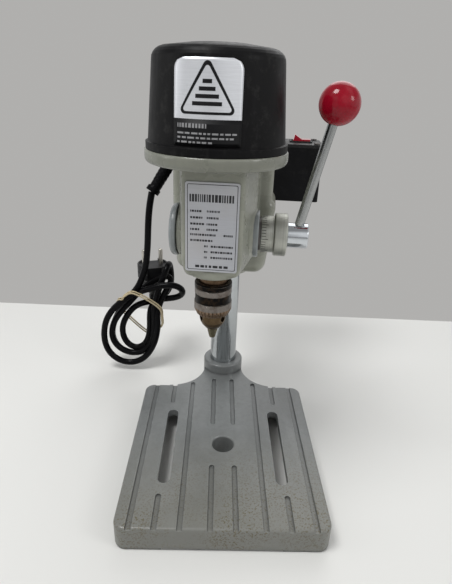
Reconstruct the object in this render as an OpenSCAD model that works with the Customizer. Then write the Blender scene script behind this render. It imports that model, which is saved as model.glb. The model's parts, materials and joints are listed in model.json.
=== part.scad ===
/* [Base] */
// Width of the table casting, left to right
base_w = 160; // [150:1:175]
// Distance from the centre hole to the front edge
base_front = 87; // [80:1:95]
// Distance from the centre hole to the straight back edge
base_back = 86; // [80:1:92]
// Height of the table surface above the desk
base_h = 21.6; // [19:0.1:26]
// Thickness of the table under its surface
base_plate_t = 7; // [6:0.5:9]
// Width of the shallow oil grooves
groove_w = 4.4; // [3:0.1:6]
// Depth of the shallow oil grooves
groove_d = 1.6; // [1:0.1:2.5]
// Length of each clamping slot, end to end
slot_len = 90; // [70:1:100]
// Width of each clamping slot
slot_w = 10; // [8:0.5:12]
// Diameter of the centre hole
table_hole_d = 19.2; // [14:0.1:22]

/* [Column] */
// Diameter of the ground steel column
col_d = 28; // [26:0.5:29]
// Height of the top of the column above the desk
col_top = 318; // [290:1:320]
// Distance from the spindle axis to the column axis
throat = 127; // [124:1:130]

/* [Head] */
// Swivel of the head about the column at rest, degrees
head_turn = -5.35; // [-10:0.05:10]
// Radius of the round flange that carries the motor
flange_r = 47.4; // [46:0.1:50]
// Height of the top of the flange above the desk
flange_top = 273; // [272:0.5:274]
// Radius of the quill
quill_r = 13.5; // [13:0.1:13.6]
// Downward travel of the quill
quill_travel = 25; // [15:1:25]
// Teeth on the feed pinion, module 1
pinion_teeth = 18; // [17:1:19]
// Height of the feed shaft above the desk
feed_z = 210; // [209:0.5:211]

/* [Lever and knobs] */
// Diameter of the ball on the feed lever
ball_d = 28; // [24:1:32]
// Distance from the feed shaft to the centre of the ball
lever_len = 94.7; // [80:0.1:105]
// Lean of the feed lever away from the head, degrees
lever_lean = 12.4; // [5:0.1:14]

/* [Motor cover] */
// Radius of the cover just above its lip
cover_r = 44.8; // [44:0.1:46]
// Radius of the cover where its top edge begins to round
cover_top_r = 41.3; // [40:0.1:44]
// Height of the middle of the cover's crown above the desk
cover_top = 335; // [330:0.5:340]

/* [Chuck] */
// Diameter of the geared sleeve
sleeve_d = 28.4; // [28:0.1:29]
// Slope of the jaws to the spindle axis, degrees
jaw_slope = 15; // [14:0.5:15]

/* [Switch box] */
// Length of the switch box, left to right
box_len = 136; // [120:1:140]
// Depth of the switch box, front to back
box_dep = 50; // [45:1:55]

/* [Cord] */
// Diameter of the mains cord
cord_d = 7; // [6:0.1:8]

/* [Hidden] */
$fn = 64;
eps = 0.01;
run = 0.05;                       // radial clearance of a running fit
fine = 32;                        // facets on the children of a hull
pad_h = 1.5;                      // how far the skirt stays above the desk between the pads
pad_low = 0.2;
pad_w = 35;                       // each corner pad, along both sides
pad_inset = 0.3;
base_corner = 9;
groove_x = [9.4, 31.4, 49.9, 68.3];
slot_x = 47.7;
socket_r = 21.2;
socket_top = 32.5;
neck_fillet = 35;
bite = 0.4;                       // how far the fillets cut into what they blend with
skirt = 6;                        // thickness of the skirt under the table
rib = 6;                          // thickness of the ribs under the table
hub_r = 19;                       // boss around the centre hole
foot_r = 9;
foot_in = 12;                     // from each side of the table to the middle of a foot
lobe_front = 50;                  // front face of the wide part of the head
lobe_back = 96;
clamp_r = 24;                     // barrel that grips the column
clamp_low = 140;
slit_w = 2.5;
ear_y = throat + 32;              // clamp screw axis, behind the column
ear_z = 172;
nose_low = 185.3;                 // lower end of the quill boss
flange_t = 8.5;
module_mm = 1;                    // gear module
pitch_r = module_mm * pinion_teeth / 2;
rack_y = quill_r - 1;             // pitch line of the rack, behind the quill axis
feed_y = rack_y + pitch_r;
backlash = 0.1;                   // taken off each flank
bush_r = 11;
shaft_r = 5;
right_face = 31;                  // machined face of the right boss
left_face = -29;
ring_in = 33;
ring_out = 42.7;
collar_out = 52.2;
hub_out = 67.8;
shaft_end = 53.4;
hub_mid = 59;
rod_r = 3.5;
box_left = -48;
box_front = throat + 25.2;
box_low = 206;
box_top = 258;
wall = 2.5;
lid_t = 3;
lid_top = box_top + lid_t;
rocker_y = box_front + 25;
power_x = 67;
power_tilt = 16;
speed_x = 40;
jaw_tip_z = 130.5;
jaw_top_z = 158;
jaw_r = 2.2;
jaw_tip_offset = 0.9;
cover_lip_r = 46.4;
cover_wall = 1.8;
label_x = -1.75;
label_low = 278.8;
label_w = 40.2;
label_h = 47;
label_corner = 6;
motor_bolt_r = 35;
post_turns = [45:90:315];         // posts that carry the top bracket
low_screw_turns = [225, 315];     // posts that are also screwed from below
cover_bolt_r = 41;
cover_screw_turns = [0, 180, 245, 295];
sunk_r = 2.9;                     // counterbores under the flange
sunk_h = 1.7;
bearing_r = 9.5;
spindle_r = 5;
// the lead from the boot to the tied bundle, in the desk's own axes
lead_path = [
    [-78, 154, 209], [-80, 153, 203], [-82, 152, 194], [-83.5, 151.5, 184],
    [-84.5, 151, 174], [-85, 151, 164], [-86, 150.5, 153], [-88, 150, 143],
    [-90.5, 150, 133], [-93.5, 150, 123], [-96, 150, 113], [-98, 150, 104]];
// the end that leaves the back of the bundle and rises into the plug
tail_path = [
    [-81, 158, 26], [-80.5, 161, 33], [-80.5, 164, 40.5], [-81.5, 168.5, 47],
    [-82.5, 174, 52.5], [-83.4, 178.8, 57.5], [-84, 182, 63], [-84, 182, 68]];
boot_path = [
    [-45, 165.5, 249], [-47.2, 165.7, 249], [-47.6, 165.7, 249], [-52, 165.2, 247.5],
    [-57, 164, 242.5], [-61, 162, 236], [-65, 160, 229.2], [-69.5, 158, 222],
    [-73.5, 156, 215.5], [-76.2, 154.9, 211.5], [-76.6, 154.7, 211], [-78, 154, 209]];
boot_r = [9.5, 9.5, 7, 6.9, 6.7, 6.5, 6.3, 6.1, 5.9, 5.8, 7.3, 7.3];
plug_x = -84;
plug_y = 182;
plug_r = 17.3;
plug_face = 121;
plug_turn = 16.4;                 // of the pins and the earth recesses about the plug's axis
pin_half = 9.5;                   // half the distance between the pins
hank_y = 151.4;
hank_t = 26;

// ---------- helpers ----------

// places a piece of the head, which is drawn with the spindle axis at the origin
module on_head() {
    translate([0, throat, 0]) rotate([0, 0, head_turn]) translate([0, -throat, 0]) children();
}

// a round bar along +X that starts at x
module bar_x(x0, x1, r, y, z) {
    translate([x0, y, z]) rotate([0, 90, 0]) cylinder(r = r, h = x1 - x0);
}

// a turned ring or disc on the spindle axis
module ring_z(z0, z1, r_out, r_in) {
    translate([0, 0, z0]) difference() {
        cylinder(r = r_out, h = z1 - z0);
        translate([0, 0, -1]) cylinder(r = r_in, h = z1 - z0 + 2);
    }
}

// copies at the given turns about the spindle axis
module around(turns, r, z) {
    for (a = turns) rotate([0, 0, a]) translate([r, 0, z]) children();
}

// a stadium lying along Y, in plan
module slot_2d(x, y0, y1, w) {
    translate([x - w / 2, y0 + w / 2]) square([w, y1 - y0 - w]);
    translate([x, y0 + w / 2]) circle(d = w);
    translate([x, y1 - w / 2]) circle(d = w);
}

// a pan-head screw with its head's top at z = 0 and its axis along -Z
module pan_screw(head_r, head_h, shank_r, shank_l) {
    difference() {
        union() {
            translate([0, 0, -head_h]) cylinder(r = head_r, h = head_h);
            translate([0, 0, -head_h - shank_l]) cylinder(r = shank_r, h = shank_l + eps);
        }
        for (a = [0, 90]) rotate([0, 0, a])
            translate([-head_r * 0.6, -0.35, -head_h * 0.5]) cube([head_r * 1.2, 0.7, head_h]);
    }
}

function unit(v) = v / norm(v);
function tangent(p, i) = unit(p[min(i + 1, len(p) - 1)] - p[max(i - 1, 0)]);
function side_of(t) = unit(cross(t, [0.2, 1, 0.1]));
function ring_at(c, t, r, n) =
    let (s = side_of(t), u = cross(s, t))
    [for (k = [0:n - 1]) c + r * (cos(360 * k / n) * s + sin(360 * k / n) * u)];

// a closed tube of n sides swept through the points, with one radius for each point
module swept_tube(path, radii, n) {
    m = len(path);
    pts = [for (i = [0:m - 1]) each ring_at(path[i], tangent(path, i), radii[i], n)];
    ends = [[for (k = [0:n - 1]) k], [for (k = [0:n - 1]) m * n - 1 - k]];
    sides = [for (i = [0:m - 2], k = [0:n - 1], h = [0, 1])
        let (a = i * n + k, b = i * n + (k + 1) % n)
        h == 0 ? [a, a + n, b] : [b, a + n, b + n]];
    polyhedron(points = pts, faces = concat(ends, sides));
}

// involute gear outline: half angle of a tooth at radius r
function inv_deg(a) = tan(a) * 180 / PI - a;
function tooth_half(r, rp, rb, half_pitch) =
    half_pitch + inv_deg(acos(rb / rp)) - inv_deg(acos(min(1, rb / r)));
function gear_pts(teeth, m, cut) =
    let (rp = m * teeth / 2, rb = rp * cos(20), rf = rp - 1.25 * m, ra = rp + 0.95 * m,
        half_pitch = 90 / teeth - cut / rp * 180 / PI,
        flank = [for (k = [0:4]) max(rb, rf) + (ra - max(rb, rf)) * k / 4])
    [for (i = [0:teeth - 1]) let (a0 = 360 * i / teeth) each concat(
        [[rf * cos(a0 - tooth_half(rb, rp, rb, half_pitch)),
          rf * sin(a0 - tooth_half(rb, rp, rb, half_pitch))]],
        [for (k = [0:4]) let (a = a0 - tooth_half(flank[k], rp, rb, half_pitch))
            [flank[k] * cos(a), flank[k] * sin(a)]],
        [for (k = [4:-1:0]) let (a = a0 + tooth_half(flank[k], rp, rb, half_pitch))
            [flank[k] * cos(a), flank[k] * sin(a)]],
        [[rf * cos(a0 + tooth_half(rb, rp, rb, half_pitch)),
          rf * sin(a0 + tooth_half(rb, rp, rb, half_pitch))]])];

// ---------- stand ----------

module base_slab() {
    hull() for (x = [-1, 1], y = [-base_front + base_corner, base_back - base_corner])
        translate([x * (base_w / 2 - base_corner), y, 0]) rotate_extrude($fn = fine) {
            translate([0, pad_h]) square([base_corner, base_h - pad_h - 2]);
            translate([0, base_h - 3]) square([base_corner - 2, 3]);
            translate([base_corner - 2, base_h - 2]) circle(r = 2, $fn = 16);
        }
}

// the neck that joins the slab to the column socket, with concave sides
module base_neck() {
    reach = socket_r + neck_fillet - bite;
    drop = throat - base_back - neck_fillet + bite;
    cx = sqrt(reach * reach - drop * drop);
    translate([0, 0, pad_h]) difference() {
        translate([-cx, base_back - 20, 0]) cube([2 * cx, throat - base_back + 20, base_h - pad_h]);
        for (s = [-1, 1]) translate([s * cx, base_back + neck_fillet - bite, -1])
            cylinder(r = neck_fillet, h = base_h + 2, $fn = 96);
    }
}

module base_grooves() {
    for (s = [-1, 1]) translate([0, 0, base_h - groove_d]) linear_extrude(groove_d + 5) {
        slot_2d(s * groove_x[0], -base_front - 9, -25, groove_w);
        slot_2d(s * groove_x[0], 25, base_back + 12, groove_w);
        slot_2d(s * groove_x[1], -base_front - 9, base_back + 5, groove_w);
        slot_2d(s * groove_x[2], -base_front - 9, -55.5, groove_w);
        slot_2d(s * groove_x[2], 55.5, base_back + 9, groove_w);
        slot_2d(s * groove_x[3], -base_front - 9, base_back + 9, groove_w);
    }
}

module base_pockets() {
    depth = base_h - base_plate_t + 1;
    inner = hub_r + rib / 2;
    y0 = -base_front + skirt;
    y1 = base_back - skirt;
    for (s = [-1, 1]) translate([s > 0 ? inner : -base_w / 2 + skirt, y0, -1])
        cube([base_w / 2 - skirt - inner, y1 - y0, depth]);
    for (y = [y0, hub_r + 1]) translate([-inner + rib, y, -1])
        cube([2 * (inner - rib), (y < 0 ? -y0 : y1) - hub_r - 1, depth]);
}

// low pads under the corners of the skirt
module base_pads() {
    intersection() {
        translate([0, 0, pad_low]) hull()
            for (x = [-1, 1], y = [-base_front + base_corner, base_back - base_corner])
                translate([x * (base_w / 2 - base_corner), y, 0])
                    cylinder(r = base_corner - pad_inset, h = pad_h + 1, $fn = fine);
        for (x = [-1, 1], y = [-base_front, base_back - pad_w])
            translate([x * (base_w - pad_w) / 2 - pad_w / 2, y, -1]) cube([pad_w, pad_w, 5]);
    }
}

// round feet in the corners, which reach up to the table plate
module base_feet() {
    for (x = [-1, 1], y = [-base_front + foot_in, base_back - foot_in])
        translate([x * (base_w / 2 - foot_in), y, 0]) cylinder(r = foot_r, h = base_h - base_plate_t + 1);
}

module base_casting() {
    color("slategray") {
        difference() {
            union() {
                base_slab();
                base_pads();
                base_neck();
                translate([0, throat, 0]) rotate_extrude() {
                    square([socket_r, socket_top - 2]);
                    square([socket_r - 2, socket_top]);
                    translate([socket_r - 2, socket_top - 2]) circle(r = 2);
                }
                cylinder(r = hub_r, h = base_h - 1);
            }
            base_pockets();
            base_grooves();
            translate([0, 0, -1]) cylinder(d = table_hole_d, h = base_h + 5);
            translate([0, 0, base_h - 1])
                cylinder(r1 = table_hole_d / 2 - 0.2, r2 = table_hole_d / 2 + 1.8, h = 2);
            for (s = [-1, 1]) translate([0, 0, 3]) linear_extrude(base_h + 5)
                slot_2d(s * slot_x, -slot_len / 2, slot_len / 2, slot_w);
            translate([0, throat, 3]) cylinder(d = col_d + 2 * run, h = socket_top);
            translate([0, throat + 8, 25]) rotate([-90, 0, 0]) cylinder(r = 3, h = 30);
        }
        base_feet();
    }
}

module socket_screw() {
    color("dimgray") translate([0, throat + col_d / 2 + 0.3, 25]) rotate([-90, 0, 0]) difference() {
        cylinder(r = 3, h = 8);
        translate([0, 0, 5]) cylinder(r = 1.7, h = 5, $fn = 6);
    }
}

module column() {
    color("gainsboro") translate([0, throat, 0]) rotate_extrude() polygon([
        [0, 3.2], [col_d / 2 - 1, 3.2], [col_d / 2, 4.2],
        [col_d / 2, col_top - 1], [col_d / 2 - 1, col_top], [0, col_top]]);
}

// ---------- head casting ----------

module housing_post(x, y, r, inset) {
    translate([x, y, 199]) cylinder(r = r, h = flange_top - flange_t - 199 + 1);
    k = 1 - inset / 30;
    translate([x * k, y * k, 193]) cylinder(r = r, h = 1);
    k2 = 1 - 2.4 * inset / 30;
    translate([x * k2, y * k2, 189]) cylinder(r = r, h = 1);
    k3 = 1 - 4.2 * inset / 30;
    translate([x * k3, y * k3, 187.2]) cylinder(r = r, h = 1);
}

// the body around the quill: flat narrow front, sides that spread towards the feed shaft
module quill_housing() {
    hull() for (s = [-1, 1]) {
        housing_post(s * 18, -16, 3.2, 1.6, $fn = fine);
        housing_post(s * 22.5, 22, 6.5, 1.6, $fn = fine);
        translate([s * 22.5, lobe_front + 6, 195]) cylinder(r = 6.5, h = 69, $fn = fine);
    }
}

// the wide lobe between the housing and the column clamp
module rear_lobe() {
    hull() for (y = [lobe_front + 7, lobe_back - 7]) {
        translate([36.6, y, 222]) sphere(r = 7, $fn = fine);
        translate([-33.2, y, 222]) sphere(r = 7, $fn = fine);
        for (s = [-1, 1]) translate([s * 28.3, y, 175]) sphere(r = 10, $fn = fine);
    }
}

module upper_neck() {
    translate([0, 0, 218]) hull() for (x = [-1, 1], y = [lobe_front + 6, lobe_back - 6])
        translate([x * 34.4, y, 0]) cylinder(r = 6, h = flange_top - flange_t - 218 + 1, $fn = fine);
}

module column_clamp() {
    translate([0, throat, clamp_low]) rotate_extrude() {
        translate([0, 2]) square([clamp_r, 118]);
        square([clamp_r - 2, 122]);
        for (z = [2, 120]) translate([clamp_r - 2, z]) circle(r = 2);
    }
    translate([-clamp_r, lobe_back - 12, 172]) cube([2 * clamp_r, throat - lobe_back + 12, 88]);
    translate([-11, throat, 156]) cube([22, ear_y - throat, 32]);
    bar_x(-11, 11, 16, ear_y, ear_z);
    translate([-20, throat, box_low + 6]) cube([40, box_front - throat, 44]);
}

module head_flange() {
    translate([0, 0, flange_top - flange_t]) rotate_extrude($fn = 96) {
        translate([0, 3]) square([flange_r, flange_t - 3]);
        square([flange_r - 3, flange_t]);
        translate([flange_r - 3, 3]) circle(r = 3);
    }
}

module feed_bosses() {
    bar_x(left_face, 0, 19, feed_y, feed_z);
    bar_x(0, right_face - 4.5, 19.5, feed_y, feed_z);
    bar_x(0, right_face, 17.5, feed_y, feed_z);
}

module head_bores() {
    translate([0, 0, nose_low - 5]) cylinder(r = quill_r + run, h = 262.5 - nose_low + 5);
    translate([0, 0, 262]) cylinder(r = bush_r, h = 20);
    translate([0, 0, flange_top - 1.5]) cylinder(r = 30, h = 5);
    bar_x(-7, 7.01, pitch_r + 1.8, feed_y, feed_z);
    bar_x(7, right_face + 5, bush_r, feed_y, feed_z);
    bar_x(-60, 0, shaft_r + run, feed_y, feed_z);
    translate([0, throat, clamp_low - 5]) cylinder(d = col_d + 2 * run, h = 200);
    translate([-slit_w / 2, throat, clamp_low - 5]) cube([slit_w, 60, box_low - clamp_low + 3]);
    bar_x(-40, 40, 4.1, ear_y, ear_z);
    around(post_turns, motor_bolt_r, flange_top - 1.5) cylinder(r = 2.8, h = 5);
    around(low_screw_turns, motor_bolt_r, flange_top - flange_t - 1) {
        cylinder(r = 1.5, h = flange_t + 5);
        cylinder(r = sunk_r, h = sunk_h + 1);
    }
    around(cover_screw_turns, cover_bolt_r, flange_top - flange_t - 1) {
        cylinder(r = 1.6, h = flange_t + 5);
        cylinder(r = sunk_r, h = sunk_h + 1);
    }
    for (s = [-1, 1]) translate([s * 12, throat + 10, 234]) rotate([-90, 0, 0])
        cylinder(r = 2, h = 60);
}

module head_casting() {
    color("darkseagreen") on_head() difference() {
        union() {
            quill_housing();
            rear_lobe();
            upper_neck();
            column_clamp();
            head_flange();
            feed_bosses();
            translate([0, 0, nose_low]) rotate_extrude() {
                translate([0, 1.5]) square([19.4, 5]);
                square([17.9, 6.5]);
                translate([17.9, 1.5]) circle(r = 1.5);
            }
        }
        head_bores();
        translate([-30, lobe_front + 8, 150]) cube([60, lobe_back - lobe_front - 18, 106]);
    }
}

module nameplate() {
    color("silver") on_head() translate([-17.9, -19.9, 193]) cube([35.8, 0.7, 61.5]);
}

module shaft_bush() {
    color("goldenrod") on_head() difference() {
        bar_x(14, right_face, bush_r, feed_y, feed_z);
        bar_x(0, right_face + 5, shaft_r + run, feed_y, feed_z);
    }
}

module clamp_screw() {
    color("dimgray") on_head() {
        bar_x(-18, 22, 4, ear_y, ear_z);
        translate([-18, ear_y, ear_z]) rotate([0, 90, 0]) cylinder(r = 7.5, h = 7, $fn = 6);
    }
}

// short lever that pulls the clamp tight
module clamp_handle() {
    color("black") on_head() difference() {
        union() {
            bar_x(11.3, 21, 7.5, ear_y, ear_z);
            translate([16, ear_y, ear_z]) rotate([180, 0, 0]) cylinder(r1 = 4, r2 = 3.2, h = 24);
            translate([16, ear_y, ear_z - 26]) sphere(r = 5.5);
        }
        bar_x(5, 30, 4.05, ear_y, ear_z);
    }
}

// ---------- return spring ----------

module spring_cap() {
    color("slategray") on_head() translate([left_face - 0.1, feed_y, feed_z]) rotate([0, -90, 0])
        rotate_extrude() difference() {
            union() {
                square([19.8, 2.4]);
                square([16.8, 5.4]);
                translate([16.8, 2.4]) intersection() {
                    circle(r = 3);
                    square(6);
                }
            }
            translate([-1, -1]) square([18.5, 4.4]);
            translate([-1, -1]) square([15, 5.4]);
        }
}

// flat spiral band from the cap's rim to the shaft
module return_spring() {
    turns = 3.5;
    r_in = 6.2;
    grow = 3.0;
    n = 24 * turns;
    band = 0.7;
    outer = [for (i = [0:n]) let (a = 360 * turns * i / n, r = r_in + grow * turns * i / n + band)
        [r * cos(a), r * sin(a)]];
    inner = [for (i = [n:-1:0]) let (a = 360 * turns * i / n, r = r_in + grow * turns * i / n)
        [r * cos(a), r * sin(a)]];
    color("steelblue") on_head() translate([left_face - 1, feed_y, feed_z]) rotate([0, -90, 0])
        linear_extrude(2.4) polygon(concat(outer, inner));
}

// ---------- motor ----------

module cover_profile(inset) {
    r_lip = cover_lip_r - inset;
    polygon(concat(
        [[0, flange_top - 20], [r_lip, flange_top - 20], [r_lip, flange_top + 4.6 - inset * 0.6],
         [cover_r - inset, flange_top + 5.2 - inset * 0.6]],
        [for (a = [0:15:90]) [cover_top_r - inset - 8.5 * (1 - cos(a)),
            cover_top - 10.2 - inset * 0.9 + 7.4 * sin(a)]],
        [[20, cover_top - 1 - inset], [0, cover_top - inset]]));
}

module motor_cover() {
    color("#202022") on_head() difference() {
        union() {
            rotate_extrude($fn = 96) difference() {
                cover_profile(0);
                cover_profile(cover_wall);
            }
            around(cover_screw_turns, cover_bolt_r, flange_top) cylinder(r = 2.6, h = 9);
        }
        translate([0, 0, flange_top - 30]) cylinder(r = 60, h = 30.1);
        around(cover_screw_turns, cover_bolt_r, flange_top - 1) cylinder(r = 1.6, h = 7);
        for (i = [-2:2]) rotate([0, 0, 90 + 9 * i]) translate([30, -1.6, 290]) cube([30, 3.2, 22]);
    }
}

module cover_label() {
    color("whitesmoke") on_head() intersection() {
        rotate_extrude($fn = 96) difference() {
            translate([0.35, 0]) cover_profile(0);
            translate([0.05, 0]) cover_profile(0);
        }
        translate([0, -30, 0]) rotate([90, 0, 0]) linear_extrude(40)
            translate([label_x - label_w / 2, label_low]) union() {
                square([label_w, label_h - label_corner]);
                translate([label_corner, 30]) square([label_w - 2 * label_corner, label_h - 30]);
                for (x = [label_corner, label_w - label_corner])
                    translate([x, label_h - label_corner]) circle(r = label_corner);
            }
    }
}

module cover_screws() {
    color("gray") on_head() around(cover_screw_turns, cover_bolt_r, flange_top - flange_t)
        rotate([180, 0, 0]) pan_screw(2.8, 1.6, 1.6, flange_t + 3);
}

module stator_core() {
    color("dimgray") on_head() difference() {
        translate([0, 0, 286]) cylinder(r = 38.4, h = 20);
        translate([0, 0, 280]) cylinder(r = 17.8, h = 40);
        around(post_turns, motor_bolt_r, 280) cylinder(r = 2.9, h = 40);
        for (a = [0, 180]) rotate([0, 0, a]) translate([17, -11, 280]) cube([7, 22, 40]);
    }
}

module field_coils() {
    color("sienna") on_head() for (a = [0, 180]) rotate([0, 0, a]) {
        translate([18.4, -10.5, 282]) cube([5.2, 21, 28]);
        translate([18.4, -14, 281]) cube([8, 28, 5]);
        translate([18.4, -14, 306]) cube([8, 28, 4]);
    }
}

module motor_bracket() {
    color("silver") on_head() difference() {
        union() {
            around(post_turns, motor_bolt_r, flange_top - 1.5) cylinder(r = 2.8, h = 50);
            for (a = [45, 135]) rotate([0, 0, a]) translate([-37, -5, 320]) cube([74, 10, 3]);
            translate([0, 0, 320]) cylinder(r = 13, h = 7.5);
        }
        translate([0, 0, 310]) cylinder(r = bush_r, h = 16);
        translate([0, 0, 310]) cylinder(r = 5.5, h = 20);
        around(post_turns, motor_bolt_r, 316) cylinder(r = 1.5, h = 10);
        around(low_screw_turns, motor_bolt_r, 262) cylinder(r = 1.5, h = 16);
    }
}

module bracket_screws() {
    color("gray") on_head() {
        around(post_turns, motor_bolt_r, 324.6) pan_screw(2.8, 1.6, 1.5, 6);
        around(low_screw_turns, motor_bolt_r, flange_top - flange_t) rotate([180, 0, 0])
            pan_screw(2.8, 1.6, 1.5, flange_t + 3);
    }
}

module motor_bearing_top() {
    color("lightgray") on_head() ring_z(320, 326, bush_r, 4 + run);
}

module motor_bearing_low() {
    color("lightgray") on_head() ring_z(263.2, 270, bush_r, 4 + run);
}

module brush_holders() {
    color("goldenrod") on_head() for (a = [45, 225]) rotate([0, 0, a]) difference() {
        translate([11.5, -4, 311.5]) cube([15, 8, 8.5]);
        translate([11, -2.4, 312.5]) cube([16.5, 4.8, 4.5]);
    }
}

module carbon_brushes() {
    color("black") on_head() for (a = [45, 225]) rotate([0, 0, a])
        translate([8.2, -2.4, 312.5]) cube([16, 4.8, 4.5]);
}

// shaft with a six-sided driving end that stays inside the hollow spindle
module motor_shaft() {
    color("silver") on_head() {
        translate([0, 0, 259.5]) cylinder(r = 4, h = 66.5);
        translate([0, 0, 203]) cylinder(d = 5.4, h = 57, $fn = 6);
    }
}

module armature() {
    color("peru") on_head() difference() {
        union() {
            translate([0, 0, 286]) cylinder(r = 17.2, h = 20);
            translate([0, 0, 282]) cylinder(r = 13, h = 28);
        }
        translate([0, 0, 270]) cylinder(r = 4, h = 50);
        for (a = [0:30:330]) rotate([0, 0, a]) translate([14, -0.8, 285]) cube([5, 1.6, 22]);
    }
}

module commutator() {
    color("orange") on_head() ring_z(311, 318.5, 8, 4);
}

module cooling_fan() {
    color("ivory") on_head() difference() {
        union() {
            translate([0, 0, 274.5]) cylinder(r = 8, h = 6);
            translate([0, 0, 274.5]) cylinder(r = 27, h = 1.5);
            for (a = [0:40:320]) rotate([0, 0, a]) translate([7, -0.7, 274.5]) cube([19, 1.4, 5.5]);
        }
        translate([0, 0, 270]) cylinder(r = 4, h = 20);
    }
}

// ---------- switch box ----------

module lid_screw_places() {
    for (x = [box_left + 6, box_left + box_len - 6], y = [box_front + 6, box_front + box_dep - 6])
        translate([x, y, 0]) children();
}

module switch_box() {
    color("#141416") on_head() difference() {
        translate([box_left, box_front, box_low]) cube([box_len, box_dep, box_top - box_low]);
        difference() {
            translate([box_left + wall, box_front + wall, box_low + wall])
                cube([box_len - 2 * wall, box_dep - 2 * wall, box_top - box_low]);
            lid_screw_places() translate([0, 0, box_low]) cylinder(r = 4, h = 60);
        }
        lid_screw_places() translate([0, 0, box_top - 8]) cylinder(r = 1.5, h = 10);
        for (s = [-1, 1]) translate([s * 12, box_front - 1, 234]) rotate([-90, 0, 0])
            cylinder(r = 2, h = 6);
        bar_x(box_left - 1, box_left + 5, 5, box_front + 9, 249);
    }
}

module rocker_hole(x) {
    translate([x - 9.2, rocker_y - 6.2, box_top - 5]) cube([18.4, 12.4, 20]);
}

module switch_box_lid() {
    color("dimgray") on_head() difference() {
        union() {
            translate([box_left, box_front, box_top]) cube([box_len, box_dep, lid_t]);
            for (x = [power_x, speed_x])
                translate([x - 11, rocker_y - 8, box_top]) cube([22, 16, lid_t + 1.4]);
        }
        for (x = [power_x, speed_x]) rocker_hole(x);
        lid_screw_places() translate([0, 0, box_top - 1]) cylinder(r = 1.5, h = 10);
    }
}

module lid_screws() {
    color("silver") on_head() lid_screw_places()
        translate([0, 0, lid_top + 1.5]) pan_screw(2.9, 1.5, 1.5, 7);
}

module box_screws() {
    color("gray") on_head() for (s = [-1, 1])
        translate([s * 12, box_front + wall + 1.8, 234]) rotate([-90, 0, 0]) pan_screw(3.6, 1.8, 2, 12);
}

module control_board() {
    color("darkgreen") on_head() {
        translate([box_left + 10, box_front + 10, box_low + wall]) cube([70, 32, 6]);
        translate([box_left + 18, box_front + 14, box_low + wall + 6]) cube([20, 16, 14]);
        translate([box_left + 46, box_front + 16, box_low + wall + 6]) cylinder(r = 5, h = 16);
    }
}

// a rocker that tilts left and right about a pin along Y
module rocker(x, tilt) {
    on_head() translate([x, rocker_y, lid_top - 0.5]) rotate([0, tilt, 0]) {
        translate([0, 5.6, 0]) rotate([90, 0, 0]) linear_extrude(11.2) polygon([
            [-7.6, -2.5], [7.6, -2.5], [8.2, 5.8], [0, 3.4], [-8.2, 5.8]]);
        translate([0, 6.1, 0]) rotate([90, 0, 0]) cylinder(r = 1.2, h = 12.2);
    }
}

module power_rocker() {
    color("crimson") rocker(power_x, power_tilt);
}

module speed_rocker() {
    color("black") rocker(speed_x, 0);
}

// ---------- quill, spindle and chuck ----------

module rack_gaps() {
    half_gap = PI * module_mm / 4 + backlash;
    root = -1.25;
    top = 1.6;
    last = ceil((quill_travel + 6) / (PI * module_mm));
    for (k = [-2:last]) translate([7, rack_y, feed_z + PI * module_mm * k]) rotate([0, -90, 0])
        linear_extrude(14) polygon([
            [half_gap + root * tan(20), root], [half_gap + top * tan(20), top],
            [-half_gap - top * tan(20), top], [-half_gap - root * tan(20), root]]);
}

module quill() {
    color("silver") on_head() difference() {
        translate([0, 0, nose_low]) cylinder(r = quill_r, h = 260 - nose_low);
        translate([0, 0, nose_low - 1]) cylinder(r = bearing_r, h = 8.2);
        translate([0, 0, nose_low - 1]) cylinder(r = 8, h = 80);
        translate([0, 0, 247.5]) cylinder(r = bearing_r, h = 20);
        rack_gaps();
    }
}

module quill_bearing_low() {
    color("lightgray") on_head() ring_z(187, 192.5, bearing_r, spindle_r + 0.03);
}

module quill_bearing_top() {
    color("lightgray") on_head() ring_z(247.5, 252.5, bearing_r, spindle_r + 0.03);
}

module quill_nut() {
    color("dimgray") on_head() ring_z(252.6, 257, bearing_r, spindle_r + 0.6);
}

module spindle() {
    color("sienna") on_head() difference() {
        union() {
            translate([0, 0, 184]) cylinder(r = spindle_r, h = 73);
            translate([0, 0, 176.5]) cylinder(r = 10.5, h = 8.3);
            translate([0, 0, 164]) cylinder(r = 4.6, h = 13);
        }
        translate([0, 0, 175]) cylinder(d = 5.8, h = 100, $fn = 6);
    }
}

module jaw_axis(k) {
    rotate([0, 0, -90 + 120 * k]) translate([jaw_tip_offset, 0, jaw_tip_z])
        rotate([0, jaw_slope, 0]) children();
}

module chuck_body() {
    color("#3c342e") on_head() difference() {
        rotate_extrude() {
            polygon([[0, 138.7], [4.7, 138.7], [8.2, 142.8], [9.6, 145.6], [10, 148], [10, 152.2],
                [11.5, 152.2], [11.5, 155.1], [10.05, 155.1], [10.9, 158.3], [11.5, 158.3],
                [11.5, 174.4], [14, 174.4], [14, 177.6], [12.9, 178.8], [0, 178.8]]);
        }
        translate([0, 0, 176.5]) cylinder(r = 11.2, h = 5);
        translate([0, 0, 164]) cylinder(r = 4.6, h = 20);
        translate([0, 0, 130]) cylinder(r = 3, h = 40);
        for (k = [0:2]) jaw_axis(k) translate([0, 0, -2]) cylinder(r = jaw_r + 0.08, h = 39.5);
        for (k = [0:2]) rotate([0, 0, -30 + 120 * k]) translate([6.5, 0, 149.2]) rotate([0, 90, 0])
            cylinder(r = 2.8, h = 10);
    }
}

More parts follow.
